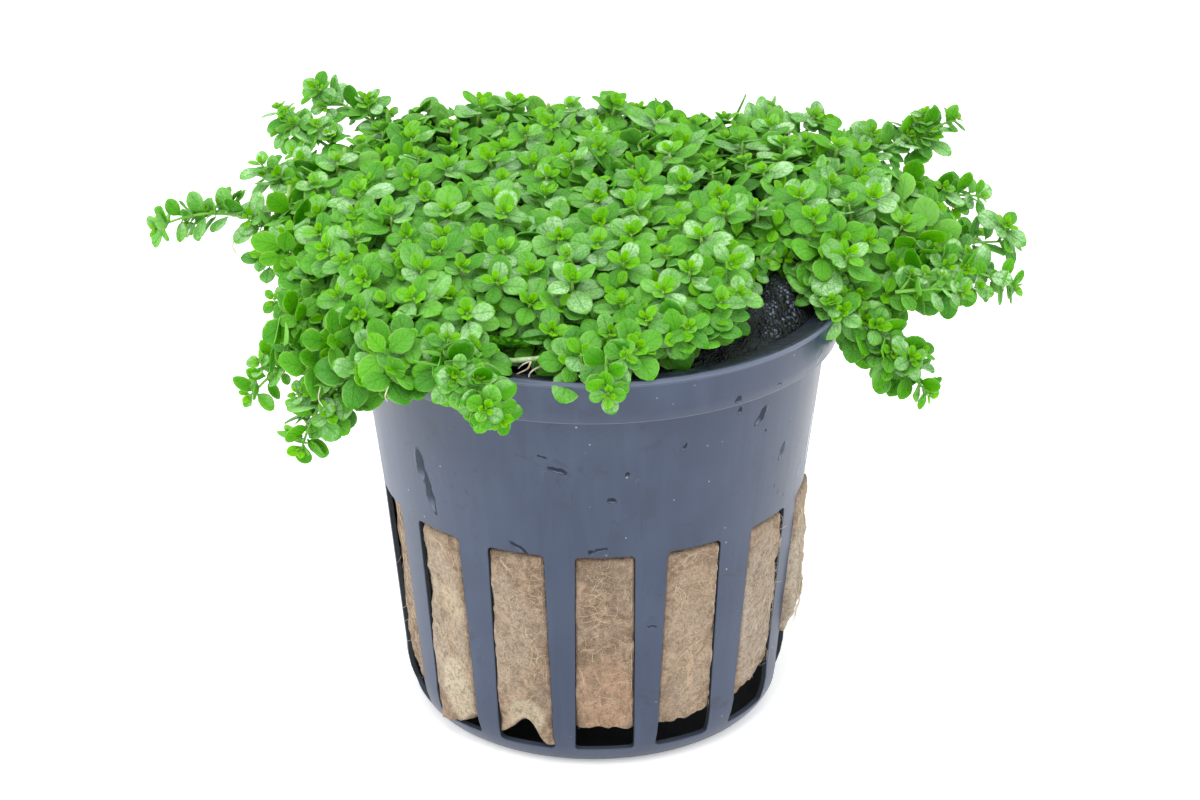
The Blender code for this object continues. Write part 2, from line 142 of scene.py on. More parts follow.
class Wire:
    """An output of a shader node, which adds and multiplies like a number."""

    def __init__(self, socket):
        self.socket = socket
        self.tree = socket.id_data

    def node(self, kind, settings=None, inputs=None, output=0):
        """Adds a node: its settings come first, then the values or wires of its sockets."""
        node = self.tree.nodes.new(kind)
        for name, value in (settings or {}).items():
            setattr(node, name, value)
        for name, value in (inputs or {}).items():
            if isinstance(value, Wire):
                self.tree.links.new(value.socket, node.inputs[name])
            else:
                node.inputs[name].default_value = value
        return Wire(node.outputs[output])

    def beside(self, output):
        """Another output of this wire's own node."""
        return Wire(self.socket.node.outputs[output])

    def math(self, operation, *others):
        inputs = dict(enumerate((self, *others)))
        return self.node("ShaderNodeMath", {"operation": operation}, inputs)

    def vector(self, operation, *others, output=0):
        """Vector maths on this wire. A length, a distance or a dot product is output 1."""
        inputs = dict(enumerate((self, *others)))
        return self.node("ShaderNodeVectorMath", {"operation": operation}, inputs, output)

    def __add__(self, other):
        return self.math("ADD", other)

    def __sub__(self, other):
        return self.math("SUBTRACT", other)

    def __rsub__(self, other):
        return self.node("ShaderNodeMath", {"operation": "SUBTRACT"}, {0: other, 1: self})

    def __mul__(self, other):
        return self.math("MULTIPLY", other)

    __radd__ = __add__
    __rmul__ = __mul__

    def ramp(self, low, high):
        """Rises smoothly from 0 to 1 between two values."""
        inputs = {"Value": self, "From Min": low, "From Max": high}
        return self.node("ShaderNodeMapRange", {"interpolation_type": "SMOOTHSTEP"}, inputs)

    def near(self, middle, far, close):
        """Rises from 0 to 1 as this value comes nearer to a middle than far, and up to close."""
        return (self - middle).math("ABSOLUTE").ramp(far, close)

    def tint(self, low, high):
        """The colour between two, by this wire. Each is a wire, or its red, green and blue."""
        low, high = (colour if isinstance(colour, Wire) else (*colour, 1) for colour in (low, high))
        return self.node("ShaderNodeMix", {"data_type": "RGBA"}, {0: self, 6: low, 7: high}, output=2)

    def stretched(self, *scale):
        """These coordinates, with each axis scaled by its own number."""
        return self.vector("MULTIPLY", scale)

    def cloud(self, scale, detail=2.0, distortion=0.0):
        """Soft noise over these coordinates."""
        sizes = {"Vector": self, "Scale": scale, "Detail": detail, "Distortion": distortion}
        return self.node("ShaderNodeTexNoise", None, sizes)

    def cells(self, scale):
        """The distance to the middle of the nearest random cell, and a number of that cell's own."""
        sizes = {"Vector": self, "Scale": scale, "Randomness": 1.0}
        distance = self.node("ShaderNodeTexVoronoi", None, sizes)
        return distance, self.node("ShaderNodeSeparateColor", None, {0: distance.beside("Color")})

    def attribute(self, name):
        """A number that each point of the mesh has by this name."""
        return self.node("ShaderNodeAttribute", {"attribute_name": name}, None, output=2)

    def bump(self, depth):
        """The normal of a surface that this wire lifts by up to a depth in millimetres."""
        return self.node("ShaderNodeBump", None, {"Height": self, "Distance": depth * MM, "Strength": 1.0})

    def into(self, shader, socket):
        self.tree.links.new(self.socket, shader.inputs[socket])


def new_finish(name, constants):
    """A material with the constants on its shader, that shader, and coordinates in millimetres."""
    material = bpy.data.materials.new(name)
    material.use_nodes = True
    shader = material.node_tree.nodes["Principled BSDF"]
    for socket, value in constants.items():
        shader.inputs[socket].default_value = value
    place = Wire(material.node_tree.nodes.new("ShaderNodeTexCoord").outputs["Object"])
    return material, shader, place.stretched(1000.0, 1000.0, 1000.0)


def surface_normal(material):
    """The direction that the material's surface faces."""
    coordinates = next(node for node in material.node_tree.nodes if node.type == "TEX_COORD")
    return Wire(coordinates.outputs["Normal"])


slot_stations = (-1.0, -0.92, -0.84, -0.42, 0.0, 0.42, 0.84, 0.92, 1.0)
pot_profile = [(radius, 0.0) for radius in (0, 3, 5.5, 7.3)]
pot_profile += [(7.6 + 0.25 * ring, 0.0) for ring in range(16)]
pot_profile += [(radius, 0.0) for radius in (12.2, 13.6, 15.0, 15.8)]
pot_heights = (0.06, 0.25, 0.6, 1.1, 1.6, 2.1, 2.32, 2.55, 3.6, 5.0, 6.5, 9, 12, 15, 18, 21, 23)
pot_heights += (23.85, 24.08, 24.3, 25.5, 27.5, 30, 33, 36, 38.4, 39.3, 39.5)
pot_profile += [(skin_radius(height), height) for height in pot_heights]
pot_profile += [(23.1, 39.56), (23.95, 39.6), (24.1, 39.75), (24.35, 40.9), (24.6, 42.1), (24.82, 43.55)]
pot_profile += [(24.85, 43.72), (25.0, 43.8), (25.0, 44.15), (24.9, 44.3)]

pot = spun(pot_profile, SLOTS * (len(slot_stations) + 5))
slide_columns(pot, slot_stations, 6)
drain_middles = [at_angle(DRAIN_CIRCLE, 2 * math.pi * drain / DRAINS, 0) for drain in range(DRAINS)]
openings = []
for face in pot.faces:
    middle = face.calc_center_median()
    across = slot_place(middle.x, middle.y)[2]
    through_slot = SLOT_FOOT < middle.z < SLOT_HEAD and abs(across) < SLOT_HALF
    to_drain = min((middle - drain).length for drain in drain_middles)
    if through_slot or (middle.z < 0.01 and to_drain < DRAIN_RADIUS):
        openings.append(face)
bmesh.ops.delete(pot, geom=openings, context="FACES")
for vertex in [v for v in pot.verts if v.is_boundary]:
    for drain in drain_middles:
        if vertex.co.z < 0.01 and (vertex.co - drain).length < DRAIN_RADIUS + 0.5:
            vertex.co = drain + DRAIN_RADIUS * (vertex.co - drain).normalized()
    _, angle, across = slot_place(vertex.co.x, vertex.co.y)
    beside = abs(across) - (SLOT_HALF - SLOT_CORNER)
    above = max(vertex.co.z - (SLOT_HEAD - SLOT_CORNER), SLOT_FOOT + SLOT_CORNER - vertex.co.z)
    if SLOT_FOOT - 0.01 < vertex.co.z < SLOT_HEAD + 0.01 and beside > 0.01 and above > 0.01:
        shrink = SLOT_CORNER / math.hypot(beside, above)
        across = math.copysign(SLOT_HALF - SLOT_CORNER + beside * shrink, across)
        middle = (SLOT_HEAD + SLOT_FOOT) / 2
        reach = middle - SLOT_FOOT - SLOT_CORNER + above * shrink
        height = middle + math.copysign(reach, vertex.co.z - middle)
        radius = skin_radius(height)
        vertex.co = at_angle(radius, angle + math.asin(across / radius), height)


def unrolled(place):
    """Height, way round the pot's wall, and coordinates on its unrolled wall that wander a little."""
    across_x = place.node("ShaderNodeSeparateXYZ", None, {0: place})
    up = across_x.beside(2)
    round_the_wall = across_x.beside(1).math("ARCTAN2", across_x) * WALL_RADIUS
    plan = place.node("ShaderNodeCombineXYZ", None, {0: round_the_wall, 1: up, 2: 0.0})
    stray = place.cloud(0.9).beside(1).vector("SUBTRACT", (0.5, 0.5, 0.5))
    return up, round_the_wall, stray.vector("MULTIPLY_ADD", (0.6, 0.6, 0.0), plan)


def mark_on(plan, angle, height, half_width, half_length, lean):
    """A soft-edged oval on the unrolled wall, and how far towards its lower end a place is."""
    oval = {
        "Vector": plan,
        "Location": (math.radians(angle) * WALL_RADIUS, height, 0),
        "Rotation": (0, 0, math.radians(lean)),
        "Scale": (half_width, half_length, 1),
    }
    inside = plan.node("ShaderNodeMapping", {"vector_type": "TEXTURE"}, oval)
    downwards = inside.vector("DOT_PRODUCT", (0, -1, 0), output=1)
    return inside.vector("LENGTH", output=1).ramp(1.08, 0.72), downwards


black_plastic, shader, place = new_finish(
    "moulded_black_plastic", {"IOR": 1.58, "Specular Tint": (0.84, 0.94, 1.0, 1)}
)
up, round_the_wall, wall_plan = unrolled(place)
# angle in degrees, height, half width, half length, lean in degrees
wet_marks = [
    (-55.8, 40.4, 0.42, 0.42, 0),
    (-52.6, 38.4, 0.26, 0.45, -20),
    (-45.0, 36.8, 0.50, 1.20, -38),
    (-42.4, 34.9, 0.18, 0.24, 0),
    (-34.1, 31.5, 0.40, 1.00, -30),
    (-20.3, 27.4, 0.14, 1.00, -28),
    (-67.7, 35.8, 0.22, 0.50, -34),
    (-81.7, 33.5, 0.26, 0.24, 0),
    (-13.0, 30.0, 0.50, 3.30, 0),
    (-27.2, 40.7, 0.18, 0.60, -34),
    (-43.4, 40.4, 0.42, 0.12, -30),
    (-36.0, 27.8, 0.10, 0.36, -35),
    (-33.0, 26.8, 0.10, 0.34, -35),
    (-29.8, 26.0, 0.09, 0.30, -30),
    (-24.5, 25.4, 0.10, 0.34, -25),
    (-99.0, 34.0, 1.05, 0.34, -12),
    (-102.5, 35.4, 0.55, 0.16, -20),
    (-85.4, 30.7, 0.50, 0.34, 8),
    (-90.8, 25.0, 0.40, 0.30, 20),
    (-88.2, 25.3, 0.70, 0.26, 12),
    (-139.9, 31.0, 0.80, 2.00, 5),
    (-137.4, 28.4, 0.62, 2.60, 9),
    (-110.0, 24.9, 1.20, 0.30, -30),
    (-74.0, 16.2, 0.60, 0.14, -8),
    (120.0, 33.0, 0.50, 1.40, 12),
    (62.0, 30.0, 0.36, 1.10, -10),
    (20.0, 37.0, 0.42, 0.60, 0),
]
# Each wet mark darkens the plastic, and the lower end of each drop gets a painted highlight, paler and bluer,
# where a drop bends the light.
marked = up * 0.0
for mark in wet_marks:
    drop, downwards = mark_on(wall_plan, *mark)
    marked = marked.math("MAXIMUM", drop * (1 + downwards.ramp(0.05, 0.8)))
wet = marked.math("MINIMUM", 1.0)
painted_gleam = (marked - 1).math("MAXIMUM", 0.0)
# Faces that do not face out, inside the pot, on its ledges and on the sides of the slots, are painted nearly
# black as shade and made rougher; the top of the lip counts as facing out.
outwards = place.stretched(1.0, 1.0, 0.0).vector("NORMALIZE")
outwards = outwards.vector("DOT_PRODUCT", surface_normal(black_plastic), output=1)
faces_out_not_painted_shade = outwards.ramp(0.35, 0.65).math("MAXIMUM", up.ramp(43.3, 43.7))
broad = place.cloud(0.09, 3.0)
drawn_down = place.stretched(1.0, 1.0, 0.12).cloud(0.55, 4.0, 0.6)
dull = broad.ramp(0.35, 0.7) * 0.6 + drawn_down.ramp(0.4, 0.75) * 0.4
smudges = place.cloud(0.7, 5.0, 0.8).ramp(0.56, 0.70) * place.cloud(0.11, 2.0).ramp(0.45, 0.6)
speck_cells, speck_choice = place.cells(0.62)
specks = speck_cells.ramp(0.075, 0.035) * speck_choice.ramp(0.3, 1.1)
hairline = place.stretched(1.0, 1.0, 0.6).cloud(0.16, 1.0, 1.5)
scratches = hairline.near(0.5, 0.0022, 0.0008) * place.cloud(0.12).ramp(0.54, 0.64)
# Pale bands along the top of the lip and the lower edge of the collar are painted highlights, where these
# edges catch the light.
painted_lip_highlight = up.near(43.95, 0.42, 0.2)
painted_collar_highlight = up.near(39.66, 0.14, 0.05)
gate_mark = round_the_wall.near(-29.14, 0.60, 0.48) * up.near(30.1, 1.8, 1.5)
gate_edge = round_the_wall.near(-29.93, 0.09, 0.03) * up.near(28.2, 2.3, 1.9)
slate = dull.tint((0.014, 0.023, 0.058), (0.033, 0.047, 0.093))
slate = (smudges * 0.5).tint(slate, (0.008, 0.012, 0.028))
slate = (painted_lip_highlight * 0.35 + painted_collar_highlight * 0.4).tint(slate, (0.19, 0.23, 0.31))
slate = (scratches * 0.08).tint(slate, (0.24, 0.27, 0.32))
slate = (gate_mark * 0.3 + gate_edge * 0.6).tint(slate, (0.010, 0.014, 0.030))
slate = (specks * 0.5).tint(slate, (0.62, 0.65, 0.68))
# painted shade on the faces that do not face out
slate = faces_out_not_painted_shade.tint((0.006, 0.008, 0.012), slate)
slate = wet.tint(slate, (0.018, 0.022, 0.034))
(painted_gleam * 0.6).tint(slate, (0.16, 0.19, 0.26)).into(shader, "Base Color")
(wet * 0.9).into(shader, "Metallic")
grain = place.cloud(2.6, 3.0)
((0.63 - faces_out_not_painted_shade * 0.35 + dull * 0.12 + grain * 0.06) * (1 - wet * 0.6)).into(shader, "Roughness")
(grain * 0.006 + scratches * -0.02 + wet * 0.06 + drawn_down * 0.012).bump(1.0).into(shader, "Normal")

net_pot = finished(pot, "black_net_pot", black_plastic)
thickness = net_pot.modifiers.new("wall_thickness", "SOLIDIFY")
thickness.thickness = WALL * MM
thickness.offset = -1
thickness.use_even_offset = True
soft_edges = net_pot.modifiers.new("moulded_edges", "BEVEL")
soft_edges.width = 0.1 * MM
soft_edges.segments = 2
soft_edges.limit_method = "ANGLE"
soft_edges.angle_limit = math.radians(40)
soft_edges.use_clamp_overlap = False
soft_edges.harden_normals = True

wet_black_rim, shader, place = new_finish("wet_black_rim", {"IOR": 1.5})
damp = place.cloud(0.8, 4.0, 0.6)
damp.ramp(0.38, 0.66).tint((0.006, 0.009, 0.016), (0.020, 0.027, 0.044)).into(shader, "Base Color")
(0.5 - damp.ramp(0.45, 0.65) * 0.2).into(shader, "Roughness")
(damp * 0.05).bump(1.0).into(shader, "Normal")
ledge_profile = [(24.6, 44.1), (24.5, 44.16), (24.3, 44.14), (23.6, 44.0), (22.7, 43.84), (22.5, 43.76)]
ledge_profile += [(22.46, 43.6), (22.6, 43.45), (24.5, 43.7), (24.6, 44.1)]
rim_ledge = finished(spun(ledge_profile, 180), "black_net_pot_rim_ledge", wet_black_rim)
for piece in (net_pot, rim_ledge):
    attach(piece, "root")
    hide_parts("net_pot")


# The plug is rockwool, basalt spun to fine fibres and felted into a block. It is pressed into
# the pot, so that it swells into every slot, and its lower edge is torn above the pot's foot.
# The spun block is swollen and roughened by noise, and loose fibres lie along its pads.

WOOL_TOP, WOOL_FOOT = 36.0, 5.2
WOOL_BLOCK, TORN_RADIUS = 19, 20
# lower edge of the wool at the left, middle and right of each slot, from the front slot on
torn_edge = [
    (4.6, 4.7, 4.3), (4.5, 4.6, 5.0), (5.2, 5.7, 6.5), (8.8, 8.4, 7.8), (5.6, 5.1, 5.4),
    (5.2, 5.7, 5.9), (5.4, 5.0, 5.1), (5.0, 5.3, 5.6), (5.7, 5.2, 5.0), (5.1, 5.5, 5.3),
    (5.2, 5.6, 5.9), (4.8, 4.6, 4.4), (1.5, 2.2, 4.0), (2.9, 4.9, 2.2),
]
# how far each pad swells out near its top, at its middle and near its foot
pad_swell = [
    (0.96, 0.94, 0.92), (0.95, 0.97, 0.93), (1.0, 1.12, 1.0), (1.4, 2.05, 1.8), (1.1, 1.2, 1.0),
    (1.0, 1.0, 0.9), (0.9, 1.0, 0.9), (1.0, 0.9, 1.0), (1.1, 1.0, 0.9), (0.9, 1.0, 1.0),
    (1.0, 1.0, 0.9), (0.35, 0.55, 0.75), (0.92, 0.98, 0.95), (0.94, 1.0, 0.95),
]
# the pad that is nipped in on its left side, and where
NIPPED_SLOT, NIP_HEIGHT = 12, 19.6


def wool_edge(angle):
    """Height of the wool's torn lower edge."""
    x, y = TORN_RADIUS * math.cos(angle), TORN_RADIUS * math.sin(angle)
    slot, _, across = slot_place(x, y)
    left, middle, right = torn_edge[slot]
    side = min(1.0, abs(across) / SLOT_HALF)
    height = middle + ((right if across > 0 else left) - middle) * side * side * (3 - 2 * side)
    return height + 0.35 * noise.noise(Vector((x, y, 0)) / 0.9)


def wool_radius(angle, height):
    """How far out the wool reaches: inside the wall, and nearly flush with it in a slot."""
    radius = skin_radius(height) - 1.1
    if height < 8:
        radius -= 0.35 * (8 - height) / 3
    x, y = radius * math.cos(angle), radius * math.sin(angle)
    slot, _, across = slot_place(x, y)
    if slot == NIPPED_SLOT and across < 0:
        across -= 0.6 * math.exp(-(((height - NIP_HEIGHT) / 3.4) ** 2))
    within = max(0.0, 1 - abs(across / 2.85) ** 14)
    below_head = max(0.0, min(1.0, (SLOT_HEAD - 0.1 - height) / 0.5))
    swell = float(np.interp(height, (5, 12, 22), pad_swell[slot][::-1])) * within**0.5 * below_head**0.5
    spot = Vector((x, y, height))
    felt = 0.26 * noise.noise(spot / 2.6) + 0.16 * noise.noise(spot / 1.0) + 0.08 * noise.noise(spot / 0.42)
    return radius + swell * 1.06 + min(swell, 0.8) * felt * 1.1 + 0.25 * felt


wool_stations = (-1.0, -0.985, -0.95, -0.88, -0.78, -0.66, -0.53, -0.40, -0.27, -0.13, 0.0)
wool_stations += tuple(-station for station in reversed(wool_stations[:-1]))
wool_profile = [(ring * 1.9, WOOL_FOOT) for ring in range(10)]
wool_profile += [(WOOL_BLOCK, WOOL_FOOT + 0.27 * row) for row in range(1, 68)]
wool_heights = (23.5, 23.8, 24.0, 24.2, 24.4, 26, 28, 30, 32, 34, 36)
wool_profile += [(WOOL_BLOCK, height) for height in wool_heights]
wool_profile += [(ring * 1.9, WOOL_TOP) for ring in reversed(range(10))]
wool = spun(wool_profile, SLOTS * (len(wool_stations) + 3))
slide_columns(wool, wool_stations, 4)
for vertex in wool.verts:
    radius = math.hypot(vertex.co.x, vertex.co.y)
    angle = math.atan2(vertex.co.y, vertex.co.x)
    if radius > WOOL_BLOCK - 0.1:
        _, middle, across = slot_place(vertex.co.x, vertex.co.y)
        turn = math.asin(across / WOOL_BLOCK) * WOOL_BLOCK / (skin_radius(vertex.co.z) - 0.3)
        angle = middle + turn
        radius = wool_radius(angle, vertex.co.z)
    if vertex.co.z < WOOL_FOOT + 7:
        share = (WOOL_FOOT + 7 - vertex.co.z) / 7
        vertex.co.z += share * (wool_edge(angle) - WOOL_FOOT)
    vertex.co.x, vertex.co.y = radius * math.cos(angle), radius * math.sin(angle)

wool_fibre, shader, place = new_finish("spun_rockwool", {"IOR": 1.4, "Roughness": 0.92})
wall_plan = unrolled(place)[2]
mottle = place.cloud(0.75, 6.0, 0.8)
stain = place.cloud(0.22, 3.0)
tuft = place.stretched(1.0, 1.0, 0.7).cloud(2.2, 6.0, 1.2)
fleck = place.cloud(4.2, 5.0, 0.8)
strands = place.stretched(1.0, 1.0, 3.0).cloud(3.4, 3.0, 2.2)
cross_strands = place.stretched(3.0, 3.0, 0.8).cloud(3.0, 3.0, 2.0)
brown = mottle.ramp(0.38, 0.62).tint((0.54, 0.375, 0.258), (0.225, 0.138, 0.082))
brown = (stain.ramp(0.45, 0.62) * 0.5).tint(brown, (0.40, 0.31, 0.235))
# angle in degrees, height, half width, half length, lean, and the patch's colour and strength;
# the dark patches are stains in the wool, and the broad pale ones, over whole pads and on the
# lower left pads, are painted light where the lamps fall on them
stains_and_painted_light = [
    (-87.0, 8.3, 3.6, 5.0, 0, (0.68, 0.40, 0.24), 0.55),
    (-91.0, 12.8, 1.4, 0.7, -20, (0.26, 0.16, 0.09), 0.6),
    (-87.5, 8.6, 0.3, 1.2, -14, (0.24, 0.13, 0.07), 0.6),
    (-86.0, 22.0, 2.6, 2.2, 0, (0.28, 0.21, 0.145), 0.5),
    (-62.0, 10.5, 0.5, 3.0, 4, (0.88, 0.62, 0.38), 0.6),
    (-65.5, 12.2, 0.5, 0.8, 0, (0.28, 0.19, 0.12), 0.6),
    (-60.0, 17.0, 0.9, 0.9, 0, (0.30, 0.21, 0.14), 0.5),
    (-36.0, 14.0, 3.6, 10.0, 0, (0.68, 0.60, 0.51), 0.6),
    (-61.5, 14.0, 3.4, 10.0, 0, (0.72, 0.57, 0.42), 0.4),
    (-138.0, 14.0, 3.6, 10.0, 0, (0.74, 0.65, 0.52), 0.5),
    (-10.0, 15.0, 4.0, 10.0, 0, (0.84, 0.78, 0.64), 0.6),
    (-116.0, 15.0, 3.4, 8.0, 0, (0.74, 0.64, 0.50), 0.3),
    (-111.0, 5.6, 2.4, 2.4, 0, (0.80, 0.70, 0.50), 0.75),
    (-135.0, 6.5, 2.4, 4.0, 0, (0.84, 0.74, 0.54), 0.7),
    (-134.0, 16.5, 2.0, 2.0, 0, (0.80, 0.66, 0.42), 0.5),
    (-136.0, 12.4, 0.6, 2.6, 0, (0.52, 0.34, 0.20), 0.5),
    (-158.0, 16.0, 2.6, 5.0, 0, (0.58, 0.42, 0.34), 0.5),
]
# stains, and pale patches of painted light, laid over the wool's colour
for *mark, colour, strength in stains_and_painted_light:
    brown = (mark_on(wall_plan, *mark)[0] * strength).tint(brown, colour)
brown = (tuft.ramp(0.46, 0.66) * 0.62).tint(brown, (0.23, 0.15, 0.095))
brown = (fleck.ramp(0.53, 0.68) * 0.48).tint(brown, (0.19, 0.125, 0.085))
brown = (strands.ramp(0.50, 0.64) * 0.5).tint(brown, (0.78, 0.63, 0.46))
(cross_strands.ramp(0.54, 0.68) * 0.42).tint(brown, (0.76, 0.63, 0.47)).into(shader, "Base Color")
(tuft * 0.35 + fleck * 0.16 + strands * 0.25 + cross_strands * 0.25).bump(1.0).into(shader, "Normal")

plug = finished(wool, "rockwool_plug", wool_fibre)


class Bundle:
    """Many small closed shapes, in millimetres, that are joined to one mesh."""

    def __init__(self):
        self.points, self.faces, self.plans, self.margins, self.ages, self.tints = [], [], [], [], [], []
        self.count = 0

    def add(self, points, faces, plan=None, margin=None, age=1.0, tint=0.5):
        self.faces.extend((np.asarray(face) + self.count).tolist() for face in faces)
        self.points.append(np.asarray(points, float))
        corners = sum(len(face) for face in faces)
        self.plans.append(np.zeros((corners, 2)) if plan is None else plan)
        self.margins.append(np.zeros(len(points), bool) if margin is None else margin)
        self.ages.append(np.full(len(points), age))
        self.tints.append(np.full(len(points), tint))
        self.count += len(points)

    def finished(self, name, material):
        mesh = bpy.data.meshes.new(name)
        mesh.from_pydata(np.concatenate(self.points) * MM, [], self.faces)
        plan = mesh.uv_layers.new(name="leaf_plan")
        plan.data.foreach_set("uv", np.concatenate(self.plans).ravel())
        for title, values in (("age", self.ages), ("tint", self.tints)):
            mesh.attributes.new(title, "FLOAT", "POINT").data.foreach_set("value", np.concatenate(values))
        ends = np.empty(len(mesh.edges) * 2, int)
        mesh.edges.foreach_get("vertices", ends)
        margin = np.concatenate(self.margins)[ends.reshape(-1, 2)].all(axis=1)
        mesh.shade_smooth()
        mesh.attributes.new("sharp_edge", "BOOLEAN", "EDGE").data.foreach_set("value", margin)
        mesh.materials.append(material)
        return added(name, mesh)


def tube(route, radii, sides):
    """Points and faces of a closed tube along a route."""
    route = [Vector(point) for point in route]
    points, faces = [], []
    side = None
    for index, point in enumerate(route):
        ahead = route[min(index + 1, len(route) - 1)] - route[max(index - 1, 0)]
        if side is None:
            side = ahead.orthogonal()
        side = (side - side.project(ahead)).normalized()
        over = ahead.cross(side).normalized()
        for step in range(sides):
            turn = 2 * math.pi * step / sides
            points.append(point + radii[index] * (math.cos(turn) * side + math.sin(turn) * over))
    for ring in range(len(route) - 1):
        for step in range(sides):
            beside = (step + 1) % sides
            first, second = ring * sides + step, ring * sides + beside
            faces.append((first, second, second + sides, first + sides))
    faces.append(tuple(reversed(range(sides))))
    faces.append(tuple(range((len(route) - 1) * sides, len(route) * sides)))
    return points, faces


FIBRES = 2600
fibres = Bundle()
chance = random.Random(41)
for fibre in range(FIBRES):
    slot = fibre % SLOTS
    middle = slot_middle(slot)
    across = chance.uniform(-2.5, 2.5)
    height = chance.uniform(max(torn_edge[slot]) + 0.7, 24.0)
    heading = chance.gauss(0.0, 0.9)
    stray = chance.random() < 0.04 and height > 9
    lift = chance.uniform(0.0, 0.05)
    rise = chance.uniform(0.05, 0.25) if stray else chance.uniform(0.0, 0.03)
    stride = chance.uniform(0.25, 0.55)
    route = []
    for step in range(6):
        spread = 2.9 if stray else 2.55
        reach = skin_radius(height)
        angle = middle + math.asin(max(-spread, min(spread, across)) / reach)
        radius = wool_radius(angle, height) + lift
        if abs(across) > 2.6:
            radius = max(radius, reach + 0.05)
        route.append(at_angle(radius, angle, height))
        across += stride * math.cos(heading)
        height = max(wool_edge(angle) + 0.4, min(24.1, height + stride * math.sin(heading)))
        heading += chance.gauss(0.0, 0.45)
        lift += rise
    fibres.add(*tube(route, [0.014, 0.018, 0.018, 0.018, 0.016, 0.01], 3), age=chance.random())

loose_fibre, shader, place = new_finish("loose_rockwool_fibre", {"IOR": 1.45, "Roughness": 0.6})
shade = place.attribute("age")
shade.tint((0.30, 0.21, 0.13), (0.86, 0.72, 0.52)).into(shader, "Base Color")
loose_fibres = fibres.finished("rockwool_loose_fibres", loose_fibre)
for piece in (plug, loose_fibres):
    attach(piece, "root")
    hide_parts("rockwool")


# The growing medium is a thin bed of wet black soil and root crumbs that lies on the plug. It
# rises from just under the lip to the middle of the mat. Pale blue glints, painted into the
# colour of its crumbs, stand for the water's highlights on them.
# It is spun as a shallow disc and its top is heaped and broken up by noise.

BED_RADIUS, BED_TOP = 22.8, 42.3
bed_profile = [(0, 36.35), (11, 36.35), (21.0, 36.35), (21.5, 38.2), (22.7, 40.6), (BED_RADIUS, 41.6)]
bed_profile += [(BED_RADIUS - 0.3 * ring, BED_TOP) for ring in range(76)] + [(0, BED_TOP)]
bed = spun(bed_profile, 252)
for vertex in bed.verts:
    if vertex.co.z > 41.5:
        spot = vertex.co.copy()
        share = math.hypot(spot.x, spot.y) / BED_RADIUS
        crumb = noise.voronoi(spot / 1.3)[0][0]
        heap = 0.9 * noise.noise(spot / 4.2) + 0.5 * noise.noise(spot / 1.5) - 0.8 * crumb
        lump = math.exp(-((spot.x - 18.6) ** 2 + (spot.y + 5.4) ** 2) / 21)
        vertex.co.z += 3.0 * (1 - share**3) + (3.8 * lump + heap) * (1 - share**12)

wet_soil, shader, place = new_finish("wet_black_soil", {"IOR": 1.4})
clod = place.cloud(0.5, 4.0)
crumbs = place.cloud(2.6, 5.0, 0.3)
cells, cell_choice = place.cells(3.4)
off_lump = place.vector("DISTANCE", (18.0, -8.4, 45.4), output=1)
off_glint_spot = place.vector("DISTANCE", (17.0, -11.6, 43.6), output=1)
streaks = place.stretched(1.6, 0.6, 0.6).cloud(0.55, 3.0, 0.8).ramp(0.47, 0.56)
# The pale blue glints are painted highlights of the water on the crumbs, brightest on the lump and at one
# spot at the front right.
painted_glint = off_lump.ramp(3.6, 1.6) * streaks * 0.9 + off_glint_spot.ramp(1.1, 0.4) * 0.6
painted_glint = painted_glint + off_lump.ramp(9.0, 3.0) * 0.10
painted_glint = painted_glint * (0.25 + cell_choice.ramp(0.3, 0.8) * 0.75)
painted_glint = painted_glint * cells.ramp(0.66, 0.25) * crumbs.ramp(0.38, 0.54)
earth = clod.ramp(0.4, 0.65).tint((0.004, 0.007, 0.006), (0.016, 0.024, 0.021))
painted_glint.tint(earth, (0.27, 0.32, 0.43)).into(shader, "Base Color")
(0.5 - crumbs.ramp(0.4, 0.7) * 0.2).into(shader, "Roughness")
(crumbs * 0.4 + clod * 0.5 + cells * -0.35).bump(1.0).into(shader, "Normal")

medium = finished(bed, "wet_growing_medium", wet_soil)
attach(medium, "root")
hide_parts("growing_medium")


# The plant is dwarf baby tears, grown as a low cushion over the rim. Each shoot carries round,
# glossy leaves in crossed pairs, small and yellow at its tip and full-sized below. A few leaf
# shapes are drawn as closed thin shells, and copies of them are set round every shoot.

LEAF_STATIONS = (0.0, 0.11, 0.27, 0.46, 0.65, 0.82, 0.945, 1.0)
LEAF_HALF_WIDTHS = (0.0, 0.09, 0.29, 0.40, 0.40, 0.315, 0.17, 0.0)


